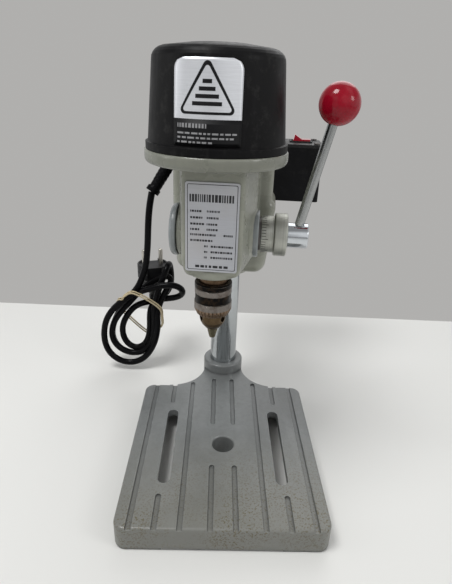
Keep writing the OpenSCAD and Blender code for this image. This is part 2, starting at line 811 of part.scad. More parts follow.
module chuck_sleeve() {
    color("#8d8277") on_head() difference() {
        rotate_extrude() polygon([
            [11.55, 152.4], [12.4, 152.4], [sleeve_d / 2, 156.6], [sleeve_d / 2, 162.6],
            [13.6, 162.9], [13.6, 169.5], [13.9, 169.9], [13.9, 173.6], [13.3, 174.2],
            [11.55, 174.2], [11.55, 167], [12.8, 166.4], [12.8, 155.2], [11.55, 155.2]]);
        around([0:12:348], 13.4, 154.8) rotate([0, 24, 0])
            cylinder(r = 0.75, h = 8, center = true, $fn = 16);
    }
}

module jaw_nut() {
    color("dimgray") on_head() rotate_extrude() polygon([
        [10.15, 155.2], [12.8, 155.2], [12.8, 158.2], [11, 158.2]]);
}

// one hardened jaw; three of them meet on the axis when closed
module chuck_jaw(k) {
    color("#6b6153") on_head() intersection() {
        jaw_axis(k) translate([0, 0, -2]) cylinder(r = jaw_r, h = 32);
        rotate([0, 0, -90 + 120 * k]) translate([0.04, 0, jaw_tip_z])
            linear_extrude(jaw_top_z - jaw_tip_z) polygon([[0, 0], [20, 34], [40, 0], [20, -34]]);
        rotate_extrude() polygon([
            [0, jaw_tip_z], [2.3, jaw_tip_z], [4.4, 139], [20, 158], [20, jaw_top_z], [0, jaw_top_z]]);
    }
}

module jaw_1() { chuck_jaw(0); }
module jaw_2() { chuck_jaw(1); }
module jaw_3() { chuck_jaw(2); }

// ---------- feed shaft, depth ring and lever ----------

module pinion_shaft() {
    color("silver") on_head() {
        bar_x(left_face - 4, shaft_end, shaft_r, feed_y, feed_z);
        translate([-6, feed_y, feed_z]) rotate([0, 90, 0]) linear_extrude(12)
            rotate([0, 0, -90]) polygon(gear_pts(pinion_teeth, module_mm, backlash));
    }
}

module depth_ring() {
    color("silver") on_head() difference() {
        bar_x(ring_in, ring_out, 13.75, feed_y, feed_z);
        bar_x(ring_in - 1, ring_out + 1, 8 + run, feed_y, feed_z);
        for (i = [0:39]) rotate_feed(9 * i)
            translate([ring_in - 1, -0.2, 13.45]) cube([i % 5 == 0 ? 5.2 : 3.6, 0.4, 2]);
    }
}

module rotate_feed(a) {
    translate([0, feed_y, feed_z]) rotate([a, 0, 0]) children();
}

module feed_collar() {
    color("darkgray") on_head() difference() {
        union() {
            bar_x(31.6, ring_out + 0.1, 8, feed_y, feed_z);
            bar_x(ring_out + 0.1, collar_out - 1, 16, feed_y, feed_z);
            bar_x(ring_out + 1, collar_out, 15, feed_y, feed_z);
        }
        bar_x(30, collar_out + 1, shaft_r, feed_y, feed_z);
    }
}

module lever_line() {
    translate([hub_mid, feed_y, feed_z]) rotate([0, lever_lean, 0]) children();
}

module feed_hub() {
    color("white") on_head() difference() {
        union() {
            bar_x(collar_out, hub_out - 0.8, 9.3, feed_y, feed_z);
            bar_x(collar_out, hub_out, 8.5, feed_y, feed_z);
        }
        bar_x(collar_out - 1, shaft_end, shaft_r, feed_y, feed_z);
        lever_line() translate([0, 0, -7.5]) cylinder(r = rod_r, h = 30);
    }
}

module lever_rod() {
    color("gainsboro") on_head() lever_line() translate([0, 0, -7.5])
        cylinder(r = rod_r, h = lever_len - ball_d / 2 + 9 + 7.5);
}

module lever_ball() {
    color("crimson") on_head() lever_line() difference() {
        translate([0, 0, lever_len]) sphere(d = ball_d);
        translate([0, 0, lever_len - ball_d]) cylinder(r = rod_r, h = ball_d / 2 + 9);
        translate([0, 0, lever_len - ball_d - 0.6]) cylinder(r = ball_d, h = ball_d / 2 + 1);
    }
}

// ---------- cord ----------

module cord_boot() {
    color("#101012") swept_tube(boot_path, boot_r, 12);
}

module power_cord() {
    color("black") swept_tube(lead_path, [for (p = lead_path) cord_d / 2], 10);
}

module cord_tail() {
    color("black") swept_tube(tail_path, [for (p = tail_path) cord_d / 2], 10);
}

module cord_hank() {
    color("black") translate([0, hank_y + hank_t / 2, 0]) rotate([90, 0, 0]) linear_extrude(hank_t) {
        hull() {
            translate([-107, 37.2]) circle(r = 35, $fn = fine);
            translate([-94, 88]) circle(r = 17, $fn = fine);
        }
        hull() {
            translate([-90, 93]) circle(r = 12, $fn = fine);
            translate([-57, 101.5]) circle(r = 14, $fn = fine);
            translate([-78, 111]) circle(r = 12, $fn = fine);
        }
    }
}

module cord_band() {
    color("khaki") translate([-93.5, hank_y, 86]) rotate([0, 24, 0]) difference() {
        translate([-21.6, -hank_t / 2 - 1.8, -1.6]) cube([43.2, hank_t + 3.6, 3.2]);
        translate([-19.9, -hank_t / 2 - 0.2, -3]) cube([39.8, hank_t + 0.4, 6]);
    }
}

module plug_body() {
    color("#141414") translate([plug_x, plug_y, 0]) rotate([0, 0, plug_turn]) difference() {
        rotate_extrude() polygon([
            [0, 68], [4.4, 68], [5.4, 84], [8, 88], [12.6, 93], [14.2, 100], [14.8, 103],
            [plug_r, 106], [plug_r, plug_face], [plug_r - 2, plug_face],
            [plug_r - 2, plug_face - 1.8], [0, plug_face - 1.8]]);
        for (s = [-1, 1]) translate([-8.2, s * 15.6 - 3, 108]) cube([16.4, 6, 20]);
    }
}

module plug_pins() {
    color("gold") translate([plug_x, plug_y, plug_face - 1.8]) rotate([0, 0, plug_turn])
        for (s = [-1, 1]) translate([s * pin_half, 0, 0]) {
            cylinder(r = 2.4, h = 16.5);
            translate([0, 0, 16.5]) sphere(r = 2.4);
        }
}

base_casting();
socket_screw();
column();
head_casting();
clamp_screw();
clamp_handle();
shaft_bush();
spring_cap();
return_spring();
motor_cover();
cover_screws();
stator_core();
field_coils();
motor_bracket();
bracket_screws();
motor_bearing_top();
motor_bearing_low();
brush_holders();
carbon_brushes();
motor_shaft();
armature();
commutator();
cooling_fan();
nameplate();
cover_label();
switch_box();
switch_box_lid();
lid_screws();
box_screws();
control_board();
power_rocker();
speed_rocker();
quill();
quill_bearing_low();
quill_bearing_top();
quill_nut();
spindle();
chuck_body();
chuck_sleeve();
jaw_nut();
jaw_1();
jaw_2();
jaw_3();
pinion_shaft();
depth_ring();
feed_collar();
feed_hub();
lever_rod();
lever_ball();
cord_boot();
power_cord();
cord_hank();
cord_tail();
cord_band();
plug_body();
plug_pins();
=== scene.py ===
"""Small bench drill press: camera, light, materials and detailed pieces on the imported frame."""
import json
import math
import random

import bmesh
import bpy
from mathutils import Matrix, Vector


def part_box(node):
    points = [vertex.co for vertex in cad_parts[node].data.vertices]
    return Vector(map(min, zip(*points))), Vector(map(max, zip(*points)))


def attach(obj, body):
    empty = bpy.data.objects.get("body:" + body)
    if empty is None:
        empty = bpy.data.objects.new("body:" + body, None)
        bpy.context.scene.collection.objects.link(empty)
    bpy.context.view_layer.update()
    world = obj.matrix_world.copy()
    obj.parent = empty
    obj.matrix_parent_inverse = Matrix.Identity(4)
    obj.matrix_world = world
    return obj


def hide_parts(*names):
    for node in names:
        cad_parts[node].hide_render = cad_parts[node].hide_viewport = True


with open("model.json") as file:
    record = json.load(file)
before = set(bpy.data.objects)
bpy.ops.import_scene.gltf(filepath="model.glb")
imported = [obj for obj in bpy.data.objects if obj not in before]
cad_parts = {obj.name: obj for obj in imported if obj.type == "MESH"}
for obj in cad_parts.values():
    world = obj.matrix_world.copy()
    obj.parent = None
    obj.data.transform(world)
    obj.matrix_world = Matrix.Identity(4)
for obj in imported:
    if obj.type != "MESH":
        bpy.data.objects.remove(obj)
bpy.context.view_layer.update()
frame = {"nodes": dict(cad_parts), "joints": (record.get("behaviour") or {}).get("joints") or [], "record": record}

# outlines and routes are written in millimetres; MM turns them into metres
MM = 0.001
SCENE = bpy.context.scene
JOINTS = {j["name"]: j for j in frame["joints"]}
UP = Vector((0, 0, 1))
X = Vector((1, 0, 0))

# ---------- places, from the frame and a few given numbers ---

HEAD_X = Vector(JOINTS["feed_turn"]["axis"]).normalized()
HEAD_Y = UP.cross(HEAD_X)
COLUMN = Vector(JOINTS["head_swivel"]["pos_m"])
SPINDLE = Vector(JOINTS["rotor_spin"]["pos_m"])
FEED = Vector(JOINTS["feed_turn"]["pos_m"])


def frame_matrix(origin, x_axis, z_axis):
    """Local axes to the row frame: z along z_axis, x as near to x_axis as it can be."""
    z = Vector(z_axis).normalized()
    y = z.cross(Vector(x_axis)).normalized()
    x = y.cross(z)
    m = Matrix((x, y, z)).transposed().to_4x4()
    m.translation = origin
    return m


HEAD = frame_matrix((SPINDLE.x, SPINDLE.y, 0), HEAD_X, UP)
POST = frame_matrix((COLUMN.x, COLUMN.y, 0), X, UP)
SHAFT = frame_matrix(FEED, UP, HEAD_X)
LEVER_LEAN = math.radians(12.4)
HUB_MID = 59 * MM
LEVER = frame_matrix(
    FEED + HEAD_X * HUB_MID, HEAD_Y, UP * math.cos(LEVER_LEAN) + HEAD_X * math.sin(LEVER_LEAN)
)
PLUG_LOW, PLUG_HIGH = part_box("plug_body")
PLUG_TURN = math.radians(16.4)
PLUG = frame_matrix(
    ((PLUG_LOW.x + PLUG_HIGH.x) / 2, (PLUG_LOW.y + PLUG_HIGH.y) / 2, 0),
    (math.cos(PLUG_TURN), math.sin(PLUG_TURN), 0), UP,
)

# ---------- meshes ----------


def add_object(name, mesh, sharp=35):
    """A new object for the mesh, shaded smooth except across edges sharper than the angle."""
    mesh.shade_smooth()
    mesh.set_sharp_from_angle(angle=math.radians(sharp))
    obj = bpy.data.objects.new(name, mesh)
    SCENE.collection.objects.link(obj)
    return obj


def from_bmesh(name, bm, matrix=None, sharp=35):
    """A new object from a bmesh, moved by the matrix if one is given."""
    bmesh.ops.remove_doubles(bm, verts=bm.verts, dist=1e-7)
    bmesh.ops.recalc_face_normals(bm, faces=bm.faces)
    mesh = bpy.data.meshes.new(name)
    bm.to_mesh(mesh)
    bm.free()
    if matrix is not None:
        mesh.transform(matrix)
    return add_object(name, mesh, sharp)


def lathe(name, profile, matrix, segments=96, sharp=35):
    """Turns a closed outline of (radius, height) points, in millimetres, about the local z axis."""
    bm = bmesh.new()
    rings = []
    for r, z in profile:
        if r == 0:
            rings.append([bm.verts.new((0, 0, z * MM))] * segments)
            continue
        rings.append([
            bm.verts.new((
                r * MM * math.cos(2 * math.pi * k / segments),
                r * MM * math.sin(2 * math.pi * k / segments),
                z * MM,
            ))
            for k in range(segments)
        ])
    for a, b in zip(rings, rings[1:] + rings[:1]):
        for k in range(segments):
            n = (k + 1) % segments
            corners = list(dict.fromkeys((a[k], a[n], b[n], b[k])))
            if len(corners) > 2:
                bm.faces.new(corners)
    return from_bmesh(name, bm, matrix, sharp)


def arc(cx, cz, r, start, end, steps):
    """Points of an arc in the (radius, height) plane, angles in degrees."""
    return [
        (
            cx + r * math.cos(math.radians(start + (end - start) * k / steps)),
            cz + r * math.sin(math.radians(start + (end - start) * k / steps)),
        )
        for k in range(steps + 1)
    ]


def catmull(points, steps):
    """A smooth line through the points, with that many steps in each gap."""
    points = [Vector(p) for p in points]
    padded = [2 * points[0] - points[1], *points, 2 * points[-1] - points[-2]]
    line = []
    for a, b, c, d in zip(padded, padded[1:], padded[2:], padded[3:]):
        for k in range(steps):
            t = k / steps
            line.append(0.5 * (
                2 * b + (c - a) * t + (2 * a - 5 * b + 4 * c - d) * t * t
                + (3 * b - a - 3 * c + d) * t ** 3
            ))
    line.append(points[-1])
    return line


def sweep(name, line, radii, sides, flat=1.0, closed=False, normal=None):
    """A tube along the line. flat squeezes it along the normal given, or along its own."""
    bm = bmesh.new()
    rings = []
    n = len(line)
    side = None
    for i, p in enumerate(line):
        before = line[i - 1] if i or closed else line[0]
        after = line[(i + 1) % n] if i < n - 1 or closed else line[-1]
        t = (after - before).normalized()
        if normal is not None:
            side = t.cross(normal).normalized()
        elif side is None:
            side = t.orthogonal().normalized()
        else:
            side = (side - t * side.dot(t)).normalized()
        other = t.cross(side)
        rings.append([
            bm.verts.new(
                p + side * math.cos(2 * math.pi * k / sides) * radii[i]
                + other * math.sin(2 * math.pi * k / sides) * radii[i] * flat
            )
            for k in range(sides)
        ])
    pairs = list(zip(rings, rings[1:]))
    if closed:
        pairs.append((rings[-1], rings[0]))
    for a, b in pairs:
        for k in range(sides):
            bm.faces.new((a[k], a[(k + 1) % sides], b[(k + 1) % sides], b[k]))
    if not closed:
        bm.faces.new(rings[0][::-1])
        bm.faces.new(rings[-1])
    return from_bmesh(name, bm, sharp=60)


def box_mesh(bm, size, matrix):
    """Adds a box of that size, centred on the matrix's origin."""
    made = bmesh.ops.create_cube(bm, size=1.0)
    bmesh.ops.scale(bm, vec=size, verts=made["verts"])
    bmesh.ops.transform(bm, matrix=matrix, verts=made["verts"])


def clean_mesh_of(node):
    """A CAD node's mesh with its flat faces whole, to be given more detail."""
    bm = bmesh.new()
    bm.from_mesh(frame["nodes"][node].data)
    bmesh.ops.remove_doubles(bm, verts=bm.verts, dist=1e-6)
    bmesh.ops.dissolve_limit(bm, angle_limit=0.01, verts=bm.verts, edges=bm.edges)
    return bm


def apply_modifiers(obj):
    """Bakes the object's modifiers into its mesh."""
    graph = bpy.context.evaluated_depsgraph_get()
    mesh = bpy.data.meshes.new_from_object(obj.evaluated_get(graph))
    obj.modifiers.clear()
    obj.data = mesh


def join(name, parts, sharp):
    """One object from several, with no material."""
    bm = bmesh.new()
    for part in parts:
        bm.from_mesh(part.data)
        bpy.data.objects.remove(part)
    mesh = bpy.data.meshes.new(name)
    bm.to_mesh(mesh)
    bm.free()
    return add_object(name, mesh, sharp)


def install(obj, body, slot, *nodes, material=None):
    """Puts a finished piece on its body, with its slot's material or another, for the CAD nodes."""
    obj.data.materials.clear()
    obj.data.materials.append(material or MATERIALS[slot])
    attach(obj, body)
    if nodes:
        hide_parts(*nodes)
    return obj


# ---------- materials ----------


class Shade:
    """A material whose nodes are added one at a time."""

    def __init__(self, name, color, rough, metallic=0.0, specular=0.5, coat=0.0):
        self.material = bpy.data.materials.new(name)
        self.material.use_nodes = True
        self.tree = self.material.node_tree
        self.shader = self.tree.nodes["Principled BSDF"]
        self.object = self.add("ShaderNodeTexCoord").outputs["Object"]
        self.set("Base Color", (*color, 1))
        self.set("Roughness", rough)
        self.set("Metallic", metallic)
        self.set("Specular IOR Level", specular)
        self.set("Coat Weight", coat)
        self.set("Coat Roughness", 0.12)

    def add(self, kind, **values):
        node = self.tree.nodes.new(kind)
        for key, value in values.items():
            setattr(node, key, value)
        return node

    def feed(self, socket, value):
        if isinstance(value, bpy.types.NodeSocket):
            self.tree.links.new(value, socket)
        else:
            socket.default_value = value

    def set(self, name, value):
        self.feed(self.shader.inputs[name], value)

    def math(self, operation, a, b):
        node = self.add("ShaderNodeMath", operation=operation)
        self.feed(node.inputs[0], a)
        self.feed(node.inputs[1], b)
        return node.outputs[0]

    def product(self, first, *others):
        """All the values multiplied together."""
        for other in others:
            first = self.math("MULTIPLY", first, other)
        return first

    def along(self, axis):
        """The distance along a direction, in metres."""
        node = self.add("ShaderNodeVectorMath", operation="DOT_PRODUCT")
        self.feed(node.inputs[0], self.object)
        node.inputs[1].default_value = axis
        return node.outputs["Value"]

    def stretched(self, scale):
        """Object coordinates scaled along each axis, for streaks."""
        node = self.add("ShaderNodeMapping")
        self.feed(node.inputs["Vector"], self.object)
        node.inputs["Scale"].default_value = scale
        return node.outputs["Vector"]

    def noise(self, scale, detail, rough=0.5, vector=None, line=None):
        """Noise in object coordinates, in a vector of its own, or along one distance."""
        node = self.add("ShaderNodeTexNoise")
        if line is not None:
            node.noise_dimensions = "1D"
            self.feed(node.inputs["W"], line)
        else:
            self.feed(node.inputs["Vector"], self.object if vector is None else vector)
        node.inputs["Scale"].default_value = scale
        node.inputs["Detail"].default_value = detail
        node.inputs["Roughness"].default_value = rough
        return node.outputs[0]

    def span(self, value, low, high, out_low=0.0, out_high=1.0):
        """Maps the range low to high onto the range out_low to out_high."""
        node = self.add("ShaderNodeMapRange")
        self.feed(node.inputs["Value"], value)
        for key, number in zip(
            ("From Min", "From Max", "To Min", "To Max"), (low, high, out_low, out_high)
        ):
            node.inputs[key].default_value = number
        return node.outputs[0]

    def mix(self, factor, a, b):
        node = self.add("ShaderNodeMix", data_type="RGBA")
        self.feed(node.inputs[0], factor)
        for socket, value in ((node.inputs[6], a), (node.inputs[7], b)):
            self.feed(socket, (*value, 1) if isinstance(value, tuple) else value)
        return node.outputs[2]

    def bands(self, value, stops):
        """A colour ramp through the colours at their places."""
        node = self.add("ShaderNodeValToRGB")
        elements = node.color_ramp.elements
        while len(elements) < len(stops):
            elements.new(0.5)
        for element, (place, color) in zip(elements, stops):
            element.position = place
            element.color = (*color, 1)
        self.feed(node.inputs[0], value)
        return node.outputs[0]

    def finish(self, height=None, strength=0.2, distance=0.0002, edge=0.0):
        """Bump from a height, over edges rounded by a radius."""
        normal = None
        if edge:
            bevel = self.add("ShaderNodeBevel", samples=6)
            bevel.inputs["Radius"].default_value = edge
            normal = bevel.outputs[0]
        if height is not None:
            bump = self.add("ShaderNodeBump")
            bump.inputs["Strength"].default_value = strength
            bump.inputs["Distance"].default_value = distance
            self.feed(bump.inputs["Height"], height)
            if normal is not None:
                self.feed(bump.inputs["Normal"], normal)
            normal = bump.outputs[0]
        if normal is not None:
            self.set("Normal", normal)
        return self.material

    def open_air(self, distance):
        """Ambient occlusion: 1 in the open, less in a groove or a corner of about that size."""
        node = self.add("ShaderNodeAmbientOcclusion", samples=8)
        node.inputs["Distance"].default_value = distance
        return node.outputs["AO"]

    def edge_mask(self, radius):
        """1 along convex and concave edges, 0 on flat faces."""
        bevel = self.add("ShaderNodeBevel", samples=6)
        bevel.inputs["Radius"].default_value = radius
        dot = self.add("ShaderNodeVectorMath", operation="DOT_PRODUCT")
        self.feed(dot.inputs[0], bevel.outputs[0])
        self.feed(dot.inputs[1], self.add("ShaderNodeNewGeometry").outputs["Normal"])
        return self.span(self.math("SUBTRACT", 1.0, dot.outputs["Value"]), 0.02, 0.12)


def shift(color, factor):
    """The colour made darker or lighter by the factor."""
    return tuple(min(1.0, c * factor) for c in color)


FRONT_TONE = (0.188, 0.186, 0.160)
RUST_TONE = (0.100, 0.082, 0.040)
FRONT_FROM, FRONT_FULL = 0.02, -0.08


def cast_paint(name, color, rough, dirt, rust=0.0, edge=0.0006, wear_and_sheen=0.55, shade_above=None):
    """Sprayed paint on a casting: orange peel, faint dirt, edges lightened as rubbed paint and as painted
    highlight, and painted shade in grooves and corners.

    rust is the strength of rust specks, which thicken towards the front of the table.
    Above the height given last, if any, the paint is darker: painted shade under the motor cover.
    """
    s = Shade(name, color, rough, specular=0.5, coat=0.15)
    cloud = s.noise(28, 4, 0.6)
    fine = s.noise(260, 5, 0.7)
    body = s.mix(s.span(cloud, 0.35, 0.7), shift(color, 0.87), shift(color, 1.13))
    body = s.mix(s.span(fine, 0.42, 0.72, 0, dirt), body, shift(color, 0.5))
    air = s.open_air(0.004)
    # edges lightened where the paint is rubbed and, on open outer edges, as a painted highlight
    chips_and_glints = s.span(s.noise(90, 3), 0.44, 0.58, 0, wear_and_sheen)
    worn_and_lit = s.product(s.edge_mask(0.0009), chips_and_glints, s.span(air, 0.6, 0.85))
    body = s.mix(worn_and_lit, body, shift(color, 1 + wear_and_sheen))
    if rust:
        grain = s.noise(640, 3, 0.75)
        patch = s.span(s.noise(20, 4, 0.6), 0.34, 0.56)
        front = s.span(s.along((0, 1, 0)), FRONT_FROM, FRONT_FULL)
        body = s.mix(s.product(front, 0.6), body, FRONT_TONE)
        specks = s.product(patch, front, s.span(grain, 0.53, 0.60), rust)
        body = s.mix(specks, body, RUST_TONE)
    # painted shade: the paint is darker in grooves, recesses and corners
    body = s.mix(s.span(air, 0.35, 0.95, 0.75, 0.0), body, shift(color, 0.25))
    # painted shade: darker paint above the given height, as under the motor cover
    if shade_above:
        painted_shade = s.span(s.along(UP), shade_above, shade_above + 0.002, 0, 0.4)
        body = s.mix(painted_shade, body, shift(color, 0.35))
    s.set("Base Color", body)
    s.set("Roughness", s.span(cloud, 0.3, 0.7, rough * 0.85, rough * 1.25))
    peel = s.math("ADD", s.noise(420, 2), s.product(fine, 0.5))
    return s.finish(peel, 0.22, 0.00018, edge)


METAL_STAIN = (0.1, 0.08, 0.06)


def bare_metal(name, color, rough, axis=None, grain=2200.0, stain=0.15, stain_color=METAL_STAIN):
    """Ground metal, or turned about an axis: fine grain, thin stains and brighter rubbed edges."""
    s = Shade(name, color, rough, metallic=1.0)
    rings = (
        s.noise(grain * 0.4, 3, 0.7) if axis is None
        else s.noise(grain, 3, 0.75, line=s.along(axis))
    )
    cloud = s.noise(70, 5, 0.65)
    body = s.mix(s.span(rings, 0.3, 0.7), shift(color, 0.86), shift(color, 1.12))
    body = s.mix(s.span(cloud, 0.5, 0.78, 0, stain), body, stain_color)
    body = s.mix(s.product(s.edge_mask(0.0005), 0.5), body, shift(color, 1.5))
    s.set("Base Color", body)
    s.set("Roughness", s.span(cloud, 0.3, 0.75, rough * 0.8, min(1.0, rough * 1.5)))
    return s.finish(rings, 0.12, 0.00005, 0.0003)


DUST = (0.35, 0.34, 0.32)


def moulded(name, color, rough, grain=900.0, streak=None, dust=0.06, specular=0.4):
    """Moulded plastic or rubber: fine grain, faint dust, and streaks if a stretch is given."""
    s = Shade(name, color, rough, specular=specular)
    fine = s.noise(grain, 3, 0.6)
    cloud = s.noise(45, 4, 0.6)
    body = s.mix(s.span(cloud, 0.35, 0.75), shift(color, 0.8), shift(color, 1.25))
    dusty = s.product(s.span(s.noise(130, 6, 0.75), 0.52, 0.8), dust)
    body = s.mix(dusty, body, DUST)
    roughness = s.span(cloud, 0.3, 0.7, rough * 0.85, rough * 1.2)
    if streak:
        lines = s.noise(1.0, 4, 0.7, vector=s.stretched(streak))
        body = s.mix(s.span(lines, 0.52, 0.75, 0, 0.22), body, shift(color, 3.2))
        roughness = s.math("ADD", roughness, s.span(lines, 0.35, 0.7, -0.06, 0.1))
    s.set("Base Color", body)
    s.set("Roughness", roughness)
    return s.finish(fine, 0.18, 0.00008, 0.0005)


def chrome(name, color, rough, axis):
    """Plated steel with faint grinding lines and a haze of small scratches."""
    s = Shade(name, color, rough, metallic=1.0)
    lines = s.noise(3200, 2, 0.6, line=s.along(axis))
    haze = s.noise(120, 5, 0.7)
    s.set("Base Color", s.mix(s.span(haze, 0.45, 0.8, 0, 0.25), color, shift(color, 0.62)))
    s.set("Roughness", s.span(haze, 0.35, 0.75, rough * 0.7, rough * 2.2))
    return s.finish(lines, 0.03, 0.00003, 0.0002)


CHUCK_LOW, CHUCK_HIGH = 0.128, 0.190
BROWN, DARK, BRIGHT = (0.10, 0.066, 0.042), (0.008, 0.0075, 0.0075), (0.20, 0.18, 0.165)
OLIVE, GOLDEN = (0.135, 0.122, 0.082), (0.118, 0.082, 0.046)
CHUCK_BANDS = (
    (0.1300, OLIVE), (0.1384, OLIVE), (0.1389, GOLDEN), (0.1515, GOLDEN),
    (0.1522, shift(BROWN, 1.2)), (0.1572, shift(BROWN, 2.2)), (0.1582, BRIGHT), (0.1626, BRIGHT),
    (0.1630, DARK), (0.1694, DARK), (0.1698, BRIGHT), (0.1740, BRIGHT), (0.1744, DARK),
    (0.1787, DARK), (0.1791, shift(BROWN, 1.6)), (0.1860, BROWN),
)
CHUCK_STAIN, CHUCK_EDGE = (0.07, 0.045, 0.028), (0.5, 0.46, 0.4)


def chuck_steel(name):
    """Browned steel with bright ground bands, by height at rest."""
    s = Shade(name, BRIGHT, 0.34, metallic=1.0)
    height = s.along(UP)
    body = s.bands(s.span(height, CHUCK_LOW, CHUCK_HIGH), [
        ((z - CHUCK_LOW) / (CHUCK_HIGH - CHUCK_LOW), color) for z, color in CHUCK_BANDS
    ])
    stain = s.noise(160, 6, 0.7)
    body = s.mix(s.span(stain, 0.48, 0.7, 0, 0.7), body, CHUCK_STAIN)
    body = s.mix(s.product(s.edge_mask(0.0004), 0.45), body, CHUCK_EDGE)
    s.set("Base Color", body)
    s.set("Roughness", s.span(stain, 0.35, 0.7, 0.26, 0.62))
    rings = s.noise(2600, 3, 0.7, line=height)
    return s.finish(s.math("ADD", rings, stain), 0.16, 0.00006, 0.0003)


def brushed_film(name, color, rough, metallic, tint=None):
    """Silver printed film: fine lines across it, and a faint stain if a tint is given."""
    s = Shade(name, color, rough, metallic=metallic)
    lines = s.noise(1.0, 3, 0.7, vector=s.stretched((60, 60, 5200)))
    body = s.mix(s.span(lines, 0.3, 0.7), shift(color, 0.9), shift(color, 1.08))
    if tint:
        body = s.mix(s.span(s.noise(38, 3), 0.4, 0.75, 0, 0.4), body, tint)
    s.set("Base Color", body)
    return s.finish(lines, 0.04, 0.00003)


HEAD_AXIS, UPRIGHT = tuple(HEAD_X), tuple(UP)
# height above which the head's paint is darkened as painted shade under the motor cover
SHADE_FROM = 0.263
MATERIALS = {
    "head_paint": cast_paint("head_paint", (0.255, 0.262, 0.218), 0.27, 0.12, shade_above=SHADE_FROM),
    "base_paint": cast_paint(
        "base_paint", (0.164, 0.173, 0.172), 0.38, 0.28, 0.95, edge=0.0005, wear_and_sheen=0.95
    ),
    "cap_paint": cast_paint("cap_paint", (0.235, 0.256, 0.262), 0.26, 0.1),
    "column_steel": chrome("column_steel", (0.50, 0.525, 0.54), 0.13, UPRIGHT),
    "hub_chrome": chrome("hub_chrome", (0.62, 0.65, 0.68), 0.07, HEAD_AXIS),
    "plain_steel": bare_metal("plain_steel", (0.50, 0.50, 0.49), 0.32),
    "dark_steel": bare_metal("dark_steel", (0.16, 0.15, 0.145), 0.42),
    "browned_steel": chuck_steel("browned_steel"),
    "cast_zinc": bare_metal(
        "cast_zinc", (0.46, 0.465, 0.425), 0.42, HEAD_AXIS, 900, 0.35, (0.19, 0.19, 0.16)
    ),
    "cover_plastic": moulded(
        "cover_plastic", (0.0062, 0.0061, 0.0066), 0.42, streak=(420, 420, 14), specular=0.09
    ),
    "box_plastic": moulded(
        "box_plastic", (0.0050, 0.0050, 0.0058), 0.5, 700, dust=0.03, specular=0.1
    ),
    "lid_plastic": moulded(
        "lid_plastic", (0.017, 0.017, 0.018), 0.45, 600, dust=0.08, specular=0.15
    ),
    "red_gloss": moulded("red_gloss", (0.290, 0.004, 0.016), 0.11, 300, dust=0.01, specular=0.27),
    "black_gloss": moulded("black_gloss", (0.012, 0.012, 0.013), 0.18, 300, dust=0.03),
    "label_metal": brushed_film("label_metal", (0.47, 0.48, 0.515), 0.4, 0.15, (0.42, 0.39, 0.36)),
    "sticker": brushed_film("sticker", (0.74, 0.755, 0.79), 0.34, 0.55),
    "cord_rubber": moulded(
        "cord_rubber", (0.0018, 0.0018, 0.0024), 0.28, 1500, dust=0.005, specular=0.1
    ),
    "band_rubber": moulded("band_rubber", (0.50, 0.42, 0.27), 0.5, 1800, dust=0.0),
    "plug_plastic": moulded(
        "plug_plastic", (0.008, 0.008, 0.009), 0.42, 1100, dust=0.05, specular=0.25
    ),
    "brass": bare_metal("brass", (0.62, 0.47, 0.22), 0.24, UPRIGHT),
    "copper_winding": bare_metal("copper_winding", (0.62, 0.28, 0.13), 0.3, UPRIGHT, 2600),
    "laminations": bare_metal("laminations", (0.26, 0.26, 0.27), 0.5, UPRIGHT, 3000),
    "fan_plastic": moulded("fan_plastic", (0.55, 0.52, 0.44), 0.5),
    "board": moulded("board", (0.02, 0.13, 0.05), 0.35),
    "carbon": moulded("carbon", (0.02, 0.02, 0.02), 0.6),
    "bronze_bush": bare_metal("bronze_bush", (0.50, 0.34, 0.16), 0.35, HEAD_AXIS),
}
NICKEL = bare_metal("nickel", (0.52, 0.50, 0.45), 0.3, UPRIGHT)
ROD_STEEL = chrome("rod_steel", (0.40, 0.41, 0.41), 0.2, HEAD_AXIS)
INK = moulded("ink_black", (0.008, 0.008, 0.009), 0.35, 600, dust=0.02, specular=0.2)
PLATE_INK = moulded("ink_grey", (0.035, 0.035, 0.038), 0.4, 600, dust=0.0, specular=0.2)
PALE_INK = moulded("ink_pale", (0.30, 0.30, 0.31), 0.4, 600, dust=0.0)

for part in frame["record"]["subparts"]:
    cad = frame["nodes"][part["node"]]
    cad.data.materials.clear()
    cad.data.materials.append(MATERIALS[part["material_slot"]])
frame["nodes"]["plug_pins"].data.materials[0] = NICKEL

# ---------- camera ----------

CAMERA_PLACE = Vector((-0.00939, -0.31565, 0.3125))
YAW, PITCH, ROLL = (math.radians(a) for a in (1.3, 24.4, 2.12))
FOCAL_PX = 460
FRAME_HEIGHT_PX = 584
SENSOR = 36

forward = Vector((
    math.sin(YAW) * math.cos(PITCH), math.cos(YAW) * math.cos(PITCH), -math.sin(PITCH)
))
level = Vector((math.cos(YAW), -math.sin(YAW), 0))
above = level.cross(forward)
rolled_x = level * math.cos(ROLL) + above * math.sin(ROLL)
rolled_y = above * math.cos(ROLL) - level * math.sin(ROLL)
camera = bpy.data.objects.new("camera", bpy.data.cameras.new("camera"))
SCENE.collection.objects.link(camera)
camera.matrix_world = Matrix((rolled_x, rolled_y, -forward)).transposed().to_4x4()
camera.matrix_world.translation = CAMERA_PLACE
camera.data.sensor_fit = "VERTICAL"
camera.data.sensor_height = SENSOR
camera.data.lens = SENSOR * FOCAL_PX / FRAME_HEIGHT_PX
camera.data.clip_start = 0.01
SCENE.camera = camera

# ---------- cord ----------

